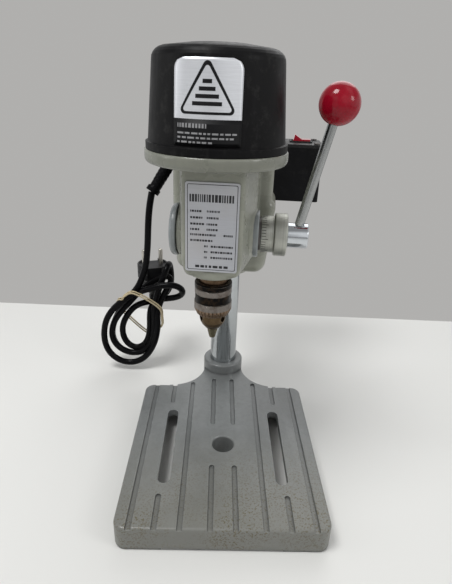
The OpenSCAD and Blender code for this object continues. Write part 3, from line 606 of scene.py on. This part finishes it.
CORD_R = 3.5
LEAD = [
    (-78, 154, 209), (-79.2, 153, 203), (-80.8, 152, 194), (-81.9, 151.5, 184), (-82.7, 151, 174),
    (-83.3, 151, 164), (-83.9, 150.5, 153), (-84.9, 150, 143), (-86.4, 150, 131),
    (-89.8, 149, 119.5), (-94.5, 148, 107.5),
]
FIRST_TURN = [
    (-101.5, 146.5, 98), (-113, 145, 89.5), (-124.5, 145, 78.5), (-132.8, 145, 65),
    (-136.5, 145, 48.5), (-135.5, 145, 31), (-127.5, 145, 16.5), (-112, 145, 9),
    (-95.5, 145, 13), (-84, 146, 26), (-77.6, 147, 42.5), (-75.4, 149, 59.5), (-76, 152, 73),
    (-71.1, 156, 88), (-65.2, 159, 99.3), (-60, 161, 107), (-60.5, 162.5, 113.5),
    (-69, 162, 113), (-81, 161, 107), (-94, 158, 98),
]
SECOND_TURN = [
    (-103.5, 154, 88), (-113.5, 151, 77), (-123.5, 150, 64), (-128.7, 150, 49),
    (-127.5, 150, 34.5), (-119, 150, 24), (-105, 150, 19), (-91, 150, 24.5), (-82.5, 150.5, 38.5),
    (-79.5, 151, 57), (-79.5, 152, 72), (-78, 153, 85), (-75, 153, 96.5), (-71.8, 153.5, 106.4),
    (-68.2, 154.5, 116.2), (-65.3, 158, 124), (-64, 163.5, 127.8), (-63.4, 169.8, 126.4),
    (-62.8, 174.2, 120), (-62.2, 176.8, 110.5), (-62.2, 177.5, 100.5), (-65, 176.5, 90),
    (-72.5, 172.5, 82.5), (-82.5, 166, 80), (-93, 159, 81),
]
THIRD_TURN = [
    (-101.5, 155, 78.5), (-108.5, 154.5, 70.5), (-115, 154, 59.5), (-117.6, 154, 47),
    (-115, 154, 34), (-107.5, 154, 25.3), (-97.5, 154, 24.5), (-89, 154, 34), (-85.5, 154.5, 50.5),
    (-85.5, 156, 66), (-83.5, 158.5, 78),
]
SIDE_LOOP = [
    (-77, 160, 84.5), (-67.7, 160, 86.3), (-57.5, 159, 88), (-50, 155, 92.5), (-46, 150.5, 99),
    (-48.2, 146.5, 106), (-56.9, 144, 110.8), (-68.9, 143.5, 109.6), (-79.9, 144, 106.3),
    (-89.8, 146, 102),
]
LAST_TURN = [
    (-101, 151.5, 95), (-110.5, 157, 84), (-120.5, 160, 70), (-127, 161, 56.5),
    (-131, 161, 42.5), (-129.5, 161, 28.5), (-121.5, 161, 17.5), (-107.5, 161, 12.3),
    (-94, 160.5, 15.5), (-84.5, 160, 23.5),
]
TAIL = [
    (-80.5, 161, 33), (-80.5, 164, 40.5), (-81.5, 168.5, 47), (-82.5, 174, 53),
    (-83.4, 178.5, 58.5), (-83.9, 181.2, 63), (-84, 182, 68),
]
BOOT = [
    (-45, 165.5, 249), (-47.6, 165.7, 249), (-52, 165.2, 247.5), (-57, 164, 242.5),
    (-61, 162, 236), (-65, 160, 229.2), (-69.5, 158, 222), (-73.5, 156, 215.5), (-78, 154, 209),
]
ROUTE = [
    tuple(c * MM for c in p)
    for p in LEAD + FIRST_TURN + SECOND_TURN + THIRD_TURN + SIDE_LOOP + LAST_TURN + TAIL
]
STEP = 3 * MM
EASING_PASSES = 6


def length_of(line):
    """The length along the points of a line."""
    return sum((b - a).length for a, b in zip(line, line[1:]))


def even_line(line, step):
    """The same line with its points about one step apart."""
    total = length_of(line)
    count = round(total / step)
    points, done, i = [line[0].copy()], 0.0, 0
    for k in range(1, count):
        goal = total * k / count
        while done + (line[i + 1] - line[i]).length < goal:
            done += (line[i + 1] - line[i]).length
            i += 1
        gap = line[i + 1] - line[i]
        points.append(line[i] + gap * ((goal - done) / gap.length))
    points.append(line[-1].copy())
    return points


def eased(line, passes):
    """The line with its bends eased; its first and last points stay."""
    for _ in range(passes):
        middle = [(a + 2 * b + c) / 4 for a, b, c in zip(line[1:], line[2:], line[3:])]
        line = line[:2] + middle[:-1] + line[-2:]
    return line


def cord_curve(name, points, radius):
    """A round cord through the points, and its length."""
    curve = bpy.data.curves.new(name, "CURVE")
    curve.dimensions = "3D"
    curve.bevel_depth = radius
    curve.bevel_resolution = 5
    curve.use_fill_caps = True
    line = even_line(eased(even_line(catmull(points, 12), STEP), EASING_PASSES), STEP)
    spline = curve.splines.new("POLY")
    spline.points.add(len(line) - 1)
    for point, place in zip(spline.points, line):
        point.co = (*place, 1)
    spline.use_smooth = True
    obj = bpy.data.objects.new(name, curve)
    SCENE.collection.objects.link(obj)
    return obj, length_of(line)


cord, cord_length = cord_curve("mains_cord", ROUTE, CORD_R * MM)
install(cord, "head", "cord_rubber", "power_cord", "cord_hank", "cord_tail")

# shares of the boot's length
COLLAR_TO, RIBS_FROM, RIBS_TO, LIP_FROM = 0.055, 0.2, 0.86, 0.92
COLLAR_R, BOOT_R, BOOT_TAPER, LIP_R = 9.3, 7.0, 1.3, 7.1
RIB_R, RIB_TURNS = 0.16, 95


def boot_radius(t):
    """The ribbed boot at a share of its length: a collar at the box, a ribbed taper and a lip."""
    if t < COLLAR_TO:
        return COLLAR_R
    if t > LIP_FROM:
        return LIP_R
    ribs = RIB_R * math.cos(t * RIB_TURNS) if RIBS_FROM < t < RIBS_TO else 0
    return BOOT_R - BOOT_TAPER * t + ribs


boot_line = catmull([tuple(c * MM for c in p) for p in BOOT], 10)
boot = sweep("cord_boot_ribbed", boot_line, [
    boot_radius(i / (len(boot_line) - 1)) * MM for i in range(len(boot_line))
], 28)
install(boot, "head", "cord_rubber", "cord_boot")

# rubber band, two strands side by side round the neck of the bundle
BAND = [
    (-112.5, 143, 93), (-109.8, 139, 98), (-101.8, 138, 103.2), (-94, 137.6, 101),
    (-86.8, 137.6, 97.3), (-75.3, 138, 89.2), (-70, 140, 81.8), (-69.6, 143.5, 70.5),
    (-70.2, 149, 59), (-75, 158, 50), (-84, 165, 42.5), (-92.5, 166.5, 40.2), (-110.8, 166.5, 58.2),
    (-119, 164, 70), (-121, 156, 82), (-118, 148, 89.5),
]
BAND_GAP, BAND_R, BAND_FLATNESS = 1.3, 1.05, 0.7
band_points = [Vector(p) * MM for p in BAND]
band_line = catmull(band_points + band_points[:3], 6)[6:-12]
band_mid = sum(band_points, Vector()) / len(band_points)
band_normal = Vector()
for a, b in zip(band_points, band_points[1:] + band_points[:1]):
    band_normal += (a - band_mid).cross(b - band_mid)
band_normal.normalize()
tie = join("cord_tie", [
    sweep(
        f"strand_{side}", [p + band_normal * side * BAND_GAP * MM for p in band_line],
        [BAND_R * MM] * len(band_line), 12, BAND_FLATNESS, closed=True, normal=band_normal,
    )
    for side in (-1, 1)
], 60)
install(tie, "head", "band_rubber", "cord_band")


def carve(obj, low, high, matrix):
    """Takes a box, given by its corners in millimetres, out of a piece."""
    bm = bmesh.new()
    low, high = Vector(low) * MM, Vector(high) * MM
    box_mesh(bm, high - low, Matrix.Translation((high + low) / 2))
    cutter = from_bmesh("cutter", bm, matrix)
    tool = obj.modifiers.new("carve", "BOOLEAN")
    tool.operation = "DIFFERENCE"
    tool.solver = "EXACT"
    tool.object = cutter
    apply_modifiers(obj)
    bpy.data.objects.remove(cutter)


PLUG_R = 17.3
EARTH_HALF, EARTH_DEEP, EARTH_LOW, EARTH_HIGH = 8.2, 12.6, 103, 125
plug = lathe("plug_moulding", [
    (0, 68), (4.2, 68), (4.7, 69), (4.9, 74), (4.4, 75), (4.4, 76.2), (5.2, 77), (5.4, 81),
    (4.9, 81.8), (4.9, 83), (5.8, 84), (8, 87.6), (11, 90.6), (12.6, 93), (13.6, 97), (14.2, 100.5),
    (14.8, 102.6), (16.2, 104), *arc(PLUG_R - 0.8, 105.4, 0.8, -60, 0, 3), (PLUG_R, 112),
    (PLUG_R - 0.5, 112.3), (PLUG_R - 0.5, 113.1), (PLUG_R, 113.4),
    *arc(PLUG_R - 0.6, 120.4, 0.6, 0, 90, 3), (PLUG_R - 2, 121), (PLUG_R - 2, 119.2), (0, 119.2),
], PLUG)
for side in (-1, 1):
    near, far = sorted((side * EARTH_DEEP, side * (EARTH_DEEP + 6)))
    carve(plug, (-EARTH_HALF, near, EARTH_LOW), (EARTH_HALF, far, EARTH_HIGH), PLUG)
plug.data.shade_smooth()
plug.data.set_sharp_from_angle(angle=math.radians(35))
install(plug, "head", "plug_plastic", "plug_body")

# ---------- castings, switch box and column ----------


def softened(node, name, voxel, smoothing, body, slot):
    """A CAD casting with its edges softened as a sand casting's are."""
    obj = add_object(name, frame["nodes"][node].data.copy())
    remesh = obj.modifiers.new("remesh", "REMESH")
    remesh.mode = "VOXEL"
    remesh.voxel_size = voxel
    soften = obj.modifiers.new("soften", "SMOOTH")
    soften.factor = 0.5
    soften.iterations = smoothing
    apply_modifiers(obj)
    obj.data.shade_smooth()
    install(obj, body, slot, node)


def edges_eased(node, name, radius, body, slot):
    """A CAD casting with a small round along every sharp edge."""
    obj = from_bmesh(name, clean_mesh_of(node))
    ease = obj.modifiers.new("ease", "BEVEL")
    ease.width = radius
    ease.segments = 2
    ease.angle_limit = math.radians(40)
    ease.harden_normals = True
    apply_modifiers(obj)
    install(obj, body, slot, node)


def corner_rounded(node, name, radius, body, slot):
    """A moulded piece of the head with its four upright corners rounded."""
    bm = clean_mesh_of(node)
    to_head = HEAD.inverted()
    spots = {v: to_head @ v.co for v in bm.verts}
    sides = [(min(p[k] for p in spots.values()), max(p[k] for p in spots.values())) for k in (0, 1)]
    at_corner = {
        v for v, p in spots.items()
        if all(min(abs(p[k] - side) for side in sides[k]) < 0.1 * MM for k in (0, 1))
    }
    edges = [e for e in bm.edges if at_corner.issuperset(e.verts)]
    edges = [e for e in edges if abs((e.verts[0].co - e.verts[1].co).normalized().z) > 0.99]
    bmesh.ops.bevel(bm, geom=edges, offset=radius, segments=5, profile=0.5, affect="EDGES")
    install(from_bmesh(name, bm), body, slot, node)


BOX_CORNER = 3.5 * MM
corner_rounded("switch_box", "switch_box_moulding", BOX_CORNER, "head", "box_plastic")
corner_rounded("switch_box_lid", "switch_box_cover", BOX_CORNER, "head", "lid_plastic")
edges_eased("base_casting", "table_casting", 0.4 * MM, "stand", "base_paint")
softened("head_casting", "head_housing", 1.0 * MM, 7, "head", "head_paint")

column_low, column_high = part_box("column")
COLUMN_R = (column_high.x - column_low.x) / 2 / MM
COLUMN_LOW, COLUMN_TOP = 3.2, column_high.z / MM
install(lathe("column_bar", [
    (0, COLUMN_LOW), (COLUMN_R - 1, COLUMN_LOW), (COLUMN_R, COLUMN_LOW + 1),
    (COLUMN_R, COLUMN_TOP - 1), (COLUMN_R - 1, COLUMN_TOP), (0, COLUMN_TOP),
], POST, 128), "column", "column_steel", "column")

# ---------- feed shaft pieces ----------

install(lathe("spring_cap_domed", [
    (0, -30.1), (17.5, -30.1), (17.5, -29.1), (19.2, -29.1), (19.8, -29.7), (19.8, -31.3),
    *arc(16.6, -31.4, 3.1, 8, -82, 8), (12.5, -34.45), (11.9, -34.1), (6.2, -34.1),
    (5.6, -34.5), (0, -34.5),
][::-1], SHAFT), "head", "base_paint", "spring_cap", material=MATERIALS["cap_paint"])

BOSS_R = 17.9
install(lathe("boss_cap", [
    (12, 26.4), *arc(BOSS_R - 0.5, 26.9, 0.5, -90, 0, 3), *arc(BOSS_R - 1.1, 30.1, 1.1, 0, 90, 5),
    (12, 31.2),
], SHAFT), "head", "base_paint", material=MATERIALS["cap_paint"])
# a dark ring in the gap between the boss cap and the scale ring: painted shade for the shadow deep in that gap
install(lathe("gap_shade_ring", [
    (8.3, 31.1), (12.8, 31.1), (12.8, 32.7), (8.3, 32.7),
], SHAFT), "head", "dark_steel")

RING_R = 13.75
install(lathe("scale_ring", [
    (8.05, 33), *arc(RING_R - 0.5, 33.5, 0.5, -90, 0, 3), *arc(RING_R - 0.6, 42.1, 0.6, 0, 90, 3),
    (8.05, 42.7),
], SHAFT, 120), "depth_ring", "cast_zinc", "depth_ring")

TICKS, LONG_EVERY = 40, 5
TICK_FROM, TICK, LONG_TICK = 33.4 * MM, 3.2 * MM, 5.0 * MM
TICK_PROUD, TICK_WIDE = 0.12 * MM, 0.42 * MM
ticks = bmesh.new()
for i in range(TICKS):
    length = TICK if i % LONG_EVERY else LONG_TICK
    spin = Matrix.Rotation(2 * math.pi * i / TICKS, 4, "Z")
    place = Matrix.Translation((RING_R * MM, 0, TICK_FROM + length / 2))
    box_mesh(ticks, (TICK_PROUD, TICK_WIDE, length), spin @ place)
install(from_bmesh("scale_ticks", ticks, SHAFT), "depth_ring", "black_gloss", material=INK)

install(lathe("pinion_collar", [
    (5, 31.6), (8, 31.6), (8, 42.8), *arc(15.2, 43.6, 0.8, -90, 0, 4),
    *arc(14.8, 51.0, 1.2, 0, 90, 5), (5, 52.2),
], SHAFT, 120), "feed_shaft", "cast_zinc", "feed_collar")
install(lathe("lever_hub", [
    (0, 53), (8.7, 52.2), (9.3, 52.8), *arc(8.3, 66.8, 1.0, 0, 90, 5), (5.2, 67.8), (4.4, 67.2),
    (0, 67.2),
], SHAFT), "feed_shaft", "hub_chrome", "feed_hub")

BALL_AT, BALL_R, NECK_ANGLE = 94.7, 14.0, -75.5
ROD_R, ROD_START, ROD_END, ROD_CHAMFER = 3.5, -7.5, 89.7, 0.6
BALL_BORE = ROD_R + 0.02
install(lathe("lever_bar", [
    (0, ROD_START), (ROD_R - ROD_CHAMFER, ROD_START), (ROD_R, ROD_START + ROD_CHAMFER),
    (ROD_R, ROD_END - ROD_CHAMFER), (ROD_R - ROD_CHAMFER, ROD_END), (0, ROD_END),
], LEVER, 64), "feed_shaft", "hub_chrome", "lever_rod", material=ROD_STEEL)
install(lathe("ball_knob", [
    (BALL_BORE, ROD_END), (BALL_BORE, BALL_AT - 13.5),
    *arc(0, BALL_AT, BALL_R, NECK_ANGLE, 88, 40), (0, BALL_AT + BALL_R), (0, ROD_END),
], LEVER, sharp=50), "feed_shaft", "red_gloss", "lever_ball")

# ---------- nameplate and cover label ----------

PLATE_LOW, PLATE_HIGH = 193.0, 254.5
PLATE_HALF, PLATE_CORNER, PLATE_THICK = 17.9, 1.6, 0.7
PLATE_FACE = -19.9
PRINT_THICK = 0.04


def rounded_outline(x0, z0, x1, z1, radius, steps=5):
    """A rectangle with rounded corners."""
    corners = (
        (x1 - radius, z0 + radius, -90), (x1 - radius, z1 - radius, 0),
        (x0 + radius, z1 - radius, 90), (x0 + radius, z0 + radius, 180),
    )
    return [p for cx, cz, a in corners for p in arc(cx, cz, radius, a, a + 90, steps)]


def bar(x0, x1, z, height, step=1.5):
    """One bar, as touching quads that are short enough to follow a curved face."""
    count = max(1, math.ceil((x1 - x0) / step))
    edges = [x0 + (x1 - x0) * k / count for k in range(count + 1)]
    return [[(a, z), (b, z), (b, z + height), (a, z + height)] for a, b in zip(edges, edges[1:])]


SHORTEST_BAR = 0.5


def bars(rng, x0, x1, rows, height, longest=4.2, gap=0.7):
    """Broken bars that stand for rows of small print; a row is a height and its share of width."""
    shapes = []
    for z, end in rows:
        x = x0
        while x < x0 + (x1 - x0) * end:
            length = min(rng.uniform(longest / 3, longest), x0 + (x1 - x0) * end - x)
            if length > SHORTEST_BAR:
                shapes += bar(x, x + length, z, height)
            x += length + rng.uniform(gap, gap * 1.5)
    return shapes


def frame_shapes(outer, inner, step=2.0):
    """Quads that fill the strip between two outlines with the same number of points."""
    shapes = []
    for a, b, c, d in zip(outer, outer[1:] + outer[:1], inner, inner[1:] + inner[:1]):
        a, b, c, d = (Vector(p) for p in (a, b, c, d))
        count = max(1, math.ceil((b - a).length / step))
        for k in range(count):
            t, u = k / count, (k + 1) / count
            quad = (a.lerp(b, t), a.lerp(b, u), c.lerp(d, u), c.lerp(d, t))
            shapes.append([tuple(p) for p in quad])
    return shapes


def patches(name, shapes, place, thickness, max_step=2.0):
    """Thin solids from flat shapes; place(x, z, out) gives the point on the surface."""
    bm = bmesh.new()
    for shape in shapes:
        points = []
        for (ax, az), (bx, bz) in zip(shape, shape[1:] + shape[:1]):
            steps = max(1, math.ceil(math.hypot(bx - ax, bz - az) / max_step))
            points += [
                (ax + (bx - ax) * k / steps, az + (bz - az) * k / steps) for k in range(steps)
            ]
        front = [bm.verts.new(place(x, z, thickness)) for x, z in points]
        back = [bm.verts.new(place(x, z, 0)) for x, z in points]
        bm.faces.new(front)
        bm.faces.new(back[::-1])
        for k in range(len(points)):
            n = (k + 1) % len(points)
            bm.faces.new((front[n], front[k], back[k], back[n]))
    bmesh.ops.triangulate(bm, faces=[f for f in bm.faces if len(f.verts) > 4])
    mesh = bpy.data.meshes.new(name)
    bm.to_mesh(mesh)
    bm.free()
    mesh.transform(HEAD)
    return add_object(name, mesh, 50)


def on_plate(x, z, out):
    """The point at (x, z) on the front of the nameplate, out millimetres above it."""
    return (x * MM, (PLATE_FACE - out) * MM, z * MM)


plate_outline = rounded_outline(-PLATE_HALF, PLATE_LOW, PLATE_HALF, PLATE_HIGH, PLATE_CORNER)
install(
    patches(
        "name_plate", [plate_outline], lambda x, z, out: on_plate(x, z, out - PLATE_THICK),
        PLATE_THICK,
    ),
    "head", "label_metal", "nameplate",
)


def plate_border(inset, radius):
    """The nameplate's outline, moved in by the inset."""
    return rounded_outline(
        inset - PLATE_HALF, PLATE_LOW + inset, PLATE_HALF - inset, PLATE_HIGH - inset, radius
    )


PRINT_H = 1.4
NAME_ROWS = (
    (234.8, 0.28), (230.4, 0.30), (226.1, 0.34), (222.4, 0.24), (218.7, 0.60), (214.7, 0.52),
)
VALUE_ROWS = ((234.8, 1.0), (230.4, 1.0), (226.1, 0.9), (222.4, 0.9))
DEPTH_ROWS = ((218.7, 1.0),)
SPEED_ROWS = ((210.7, 1.0), (206.7, 1.0), (202.7, 1.0))
rng = random.Random(7)
plate_print = frame_shapes(plate_border(1.3, 1.2), plate_border(1.7, 1.0))
plate_print += bars(rng, -15.0, 15.0, [(241.6, 0.97)], 5.0, 1.9, 0.5)
for x0, x1, rows, longest, gap in (
    (-14.5, 14.5, NAME_ROWS, 1.8, 0.35), (-3.5, 5.0, VALUE_ROWS, 1.6, 0.35),
    (8.0, 14.5, DEPTH_ROWS, 1.6, 0.35), (-5.0, -2.6, SPEED_ROWS, 1.2, 0.4),
    (-0.5, 14.5, SPEED_ROWS, 1.8, 0.35),
):
    plate_print += bars(rng, x0, x1, rows, PRINT_H, longest, gap)
plate_print += bars(rng, -11.0, 12.0, [(195.9, 1.0)], 1.8)
install(
    patches("plate_print", plate_print, on_plate, PRINT_THICK),
    "head", "black_gloss", material=PLATE_INK,
)

COVER_R, COVER_TOP_R = 44.8, 41.3
COVER_LOW, COVER_ARC = 278.2, 324.8
CROWN_R, CROWN_H = 8.5, 7.4
LABEL_SHIFT = -1.75


def cover_radius(z):
    """The motor cover's radius at a height: a taper with a rounded crown."""
    if z > COVER_ARC:
        rise = math.asin(min(1.0, (z - COVER_ARC) / CROWN_H))
        return COVER_TOP_R - CROWN_R * (1 - math.cos(rise))
    t = (z - COVER_LOW) / (COVER_ARC - COVER_LOW)
    return COVER_R + (COVER_TOP_R - COVER_R) * t


def on_cover(lift):
    """Wraps flat shapes round the front of the motor cover, lift millimetres above its skin."""
    def place(x, z, out):
        r = cover_radius(z) + lift + out
        a = (x + LABEL_SHIFT) / cover_radius(z)
        return (r * math.sin(a) * MM, -r * math.cos(a) * MM, z * MM)
    return place


def cells(outline_at, z0, z1, rows, columns):
    """A grid of small shapes that fills an outline given as half width at a height."""
    shapes = []
    for i in range(rows):
        za, zb = z0 + (z1 - z0) * i / rows, z0 + (z1 - z0) * (i + 1) / rows
        for k in range(columns):
            u, v = -1 + 2 * k / columns, -1 + 2 * (k + 1) / columns
            wa, wb = outline_at(za), outline_at(zb)
            shapes.append([(u * wa, za), (v * wa, za), (v * wb, zb), (u * wb, zb)])
    return shapes


def skin(name, shapes, lift):
    """One continuous thin skin from touching cells on the cover."""
    bm = bmesh.new()
    place = on_cover(lift)
    for shape in shapes:
        bm.faces.new([bm.verts.new(place(x, z, 0)) for x, z in shape])
    bmesh.ops.remove_doubles(bm, verts=bm.verts, dist=1e-7)
    obj = from_bmesh(name, bm, HEAD, 50)
    solid = obj.modifiers.new("thickness", "SOLIDIFY")
    solid.thickness = 0.08 * MM
    solid.offset = 0
    apply_modifiers(obj)
    return obj


LABEL_LOW, LABEL_HIGH, LABEL_HALF, LABEL_CORNER = 278.8, 324.9, 20.1, 6.0
BLACK_TOP = 293.7
STICKER_LIFT, BLACK_LIFT, SYMBOL_LIFT, PALE_LIFT = 0.12, 0.22, 0.2, 0.28


def label_half(z):
    """Half the sticker's width at a height; its two upper corners are rounded."""
    over = z - (LABEL_HIGH - LABEL_CORNER)
    if over <= 0:
        return LABEL_HALF
    return LABEL_HALF - LABEL_CORNER + math.sqrt(max(0.0, LABEL_CORNER ** 2 - over ** 2))


sticker = skin("cover_sticker", cells(label_half, LABEL_LOW, LABEL_HIGH, 30, 24), STICKER_LIFT)
install(sticker, "head", "sticker", "cover_label")
black_part = skin(
    "cover_sticker_band", cells(lambda z: LABEL_HALF, LABEL_LOW, BLACK_TOP, 6, 24), BLACK_LIFT
)
install(black_part, "head", "black_gloss", material=INK)


def triangle(apex, low, half, radius, steps=6):
    """A triangle with rounded corners, point up."""
    slope = math.degrees(math.atan2(apex - low, half))
    corners = (
        (half - radius * 1.55, low + radius, -90, 90 - slope),
        (0, apex - radius * 1.9, 90 - slope, 90 + slope),
        (-half + radius * 1.55, low + radius, 90 + slope, 270),
    )
    return [p for cx, cz, a, b in corners for p in arc(cx, cz, radius, a, b, steps)]


SYMBOL_OUTER, SYMBOL_INNER = (325.6, 296.2, 16.8, 2.4), (322.4, 297.6, 14.6, 1.4)
SYMBOL_BAR_H = 2.1
SYMBOL_BARS = ((8.4, 300.8), (6.6, 304.6), (4.6, 308.4), (2.6, 312.2))
FINE_STEP = 1.2
symbol = frame_shapes(triangle(*SYMBOL_OUTER), triangle(*SYMBOL_INNER))
symbol_bars = [quad for half, z in SYMBOL_BARS for quad in bar(-half, half, z, SYMBOL_BAR_H)]
pale_print = bars(rng, -17.5, 0.0, [(289.0, 1.0)], 2.3, 1.8, 0.5)
pale_print += bars(rng, -17.5, 17.5, [(285.6, 1.0), (283.2, 0.95), (280.8, 0.6)], 1.0)
for name, shapes, lift, thick, slot, ink in (
    ("cover_symbol", symbol, SYMBOL_LIFT, PRINT_THICK, "black_gloss", INK),
    ("cover_symbol_bars", symbol_bars, SYMBOL_LIFT, PRINT_THICK, "black_gloss", INK),
    ("cover_band_print", pale_print, PALE_LIFT, 0.03, "sticker", PALE_INK),
):
    printed = patches(name, shapes, on_cover(lift), thick, FINE_STEP)
    install(printed, "head", slot, material=ink)

# ---------- floor and light ----------

BENCH_HALF, BENCH_FRONT, BENCH_DROP = 2.0, -2.5, 0.0002
BACK_LEFT, BACK_RIGHT = 0.370, 0.232
floor_mesh = bpy.data.meshes.new("floor")
floor_mesh.from_pydata([
    (-BENCH_HALF, BENCH_FRONT, -BENCH_DROP), (BENCH_HALF, BENCH_FRONT, -BENCH_DROP),
    (BENCH_HALF, BACK_RIGHT, -BENCH_DROP), (-BENCH_HALF, BACK_LEFT, -BENCH_DROP),
], [], [(0, 1, 2, 3)])
floor = bpy.data.objects.new("floor", floor_mesh)
SCENE.collection.objects.link(floor)
FLOOR_WHITE = (0.72, 0.72, 0.70)
floor_shade = Shade("floor_white", FLOOR_WHITE, 0.5, specular=0.3)
floor_mesh.materials.append(floor_shade.finish(floor_shade.noise(300, 2), 0.03, 0.0002))

# the camera sees a plain grey wall; reflections see darker and lighter parts of a room
WALL = (0.435, 0.430, 0.420)
ROOM_DARK, ROOM_LIGHT = 0.30, 0.85
world = bpy.data.worlds.new("studio")
SCENE.world = world
world.use_nodes = True
room = world.node_tree
background = room.nodes["Background"]
direction = room.nodes.new("ShaderNodeTexCoord").outputs["Generated"]
clouds = room.nodes.new("ShaderNodeTexNoise")
clouds.inputs["Scale"].default_value = 1.4
clouds.inputs["Detail"].default_value = 1.0
room.links.new(direction, clouds.inputs["Vector"])
contrast = room.nodes.new("ShaderNodeMapRange")
for key, number in (
    ("From Min", 0.40), ("From Max", 0.62), ("To Min", ROOM_DARK), ("To Max", ROOM_LIGHT)
):
    contrast.inputs[key].default_value = number
room.links.new(clouds.outputs[0], contrast.inputs["Value"])
seen = room.nodes.new("ShaderNodeMix")
seen.data_type = "RGBA"
room.links.new(room.nodes.new("ShaderNodeLightPath").outputs["Is Camera Ray"], seen.inputs[0])
room.links.new(contrast.outputs[0], seen.inputs[6])
seen.inputs[7].default_value = (*WALL, 1)
room.links.new(seen.outputs[2], background.inputs["Color"])
background.inputs["Strength"].default_value = 1.0
SCENE.view_settings.view_transform = "Standard"


MIDDLE = (0, 0.05, 0.15)


def soft_light(name, place, size, power):
    """A round area light that faces the middle of the object."""
    data = bpy.data.lights.new(name, "AREA")
    data.shape = "DISK"
    data.size = size
    data.energy = power
    lamp = bpy.data.objects.new(name, data)
    lamp.location = place
    lamp.rotation_euler = (Vector(MIDDLE) - lamp.location).to_track_quat("-Z", "Y").to_euler()
    SCENE.collection.objects.link(lamp)


soft_light("key", (-0.45, -0.25, 1.35), 0.5, 10.0)
soft_light("fill", (1.0, -0.5, 0.8), 0.4, 2.2)
soft_light("left", (-1.1, -0.15, 0.55), 0.6, 1.3)
soft_light("back", (0.35, 1.0, 1.2), 1.2, 4.5)
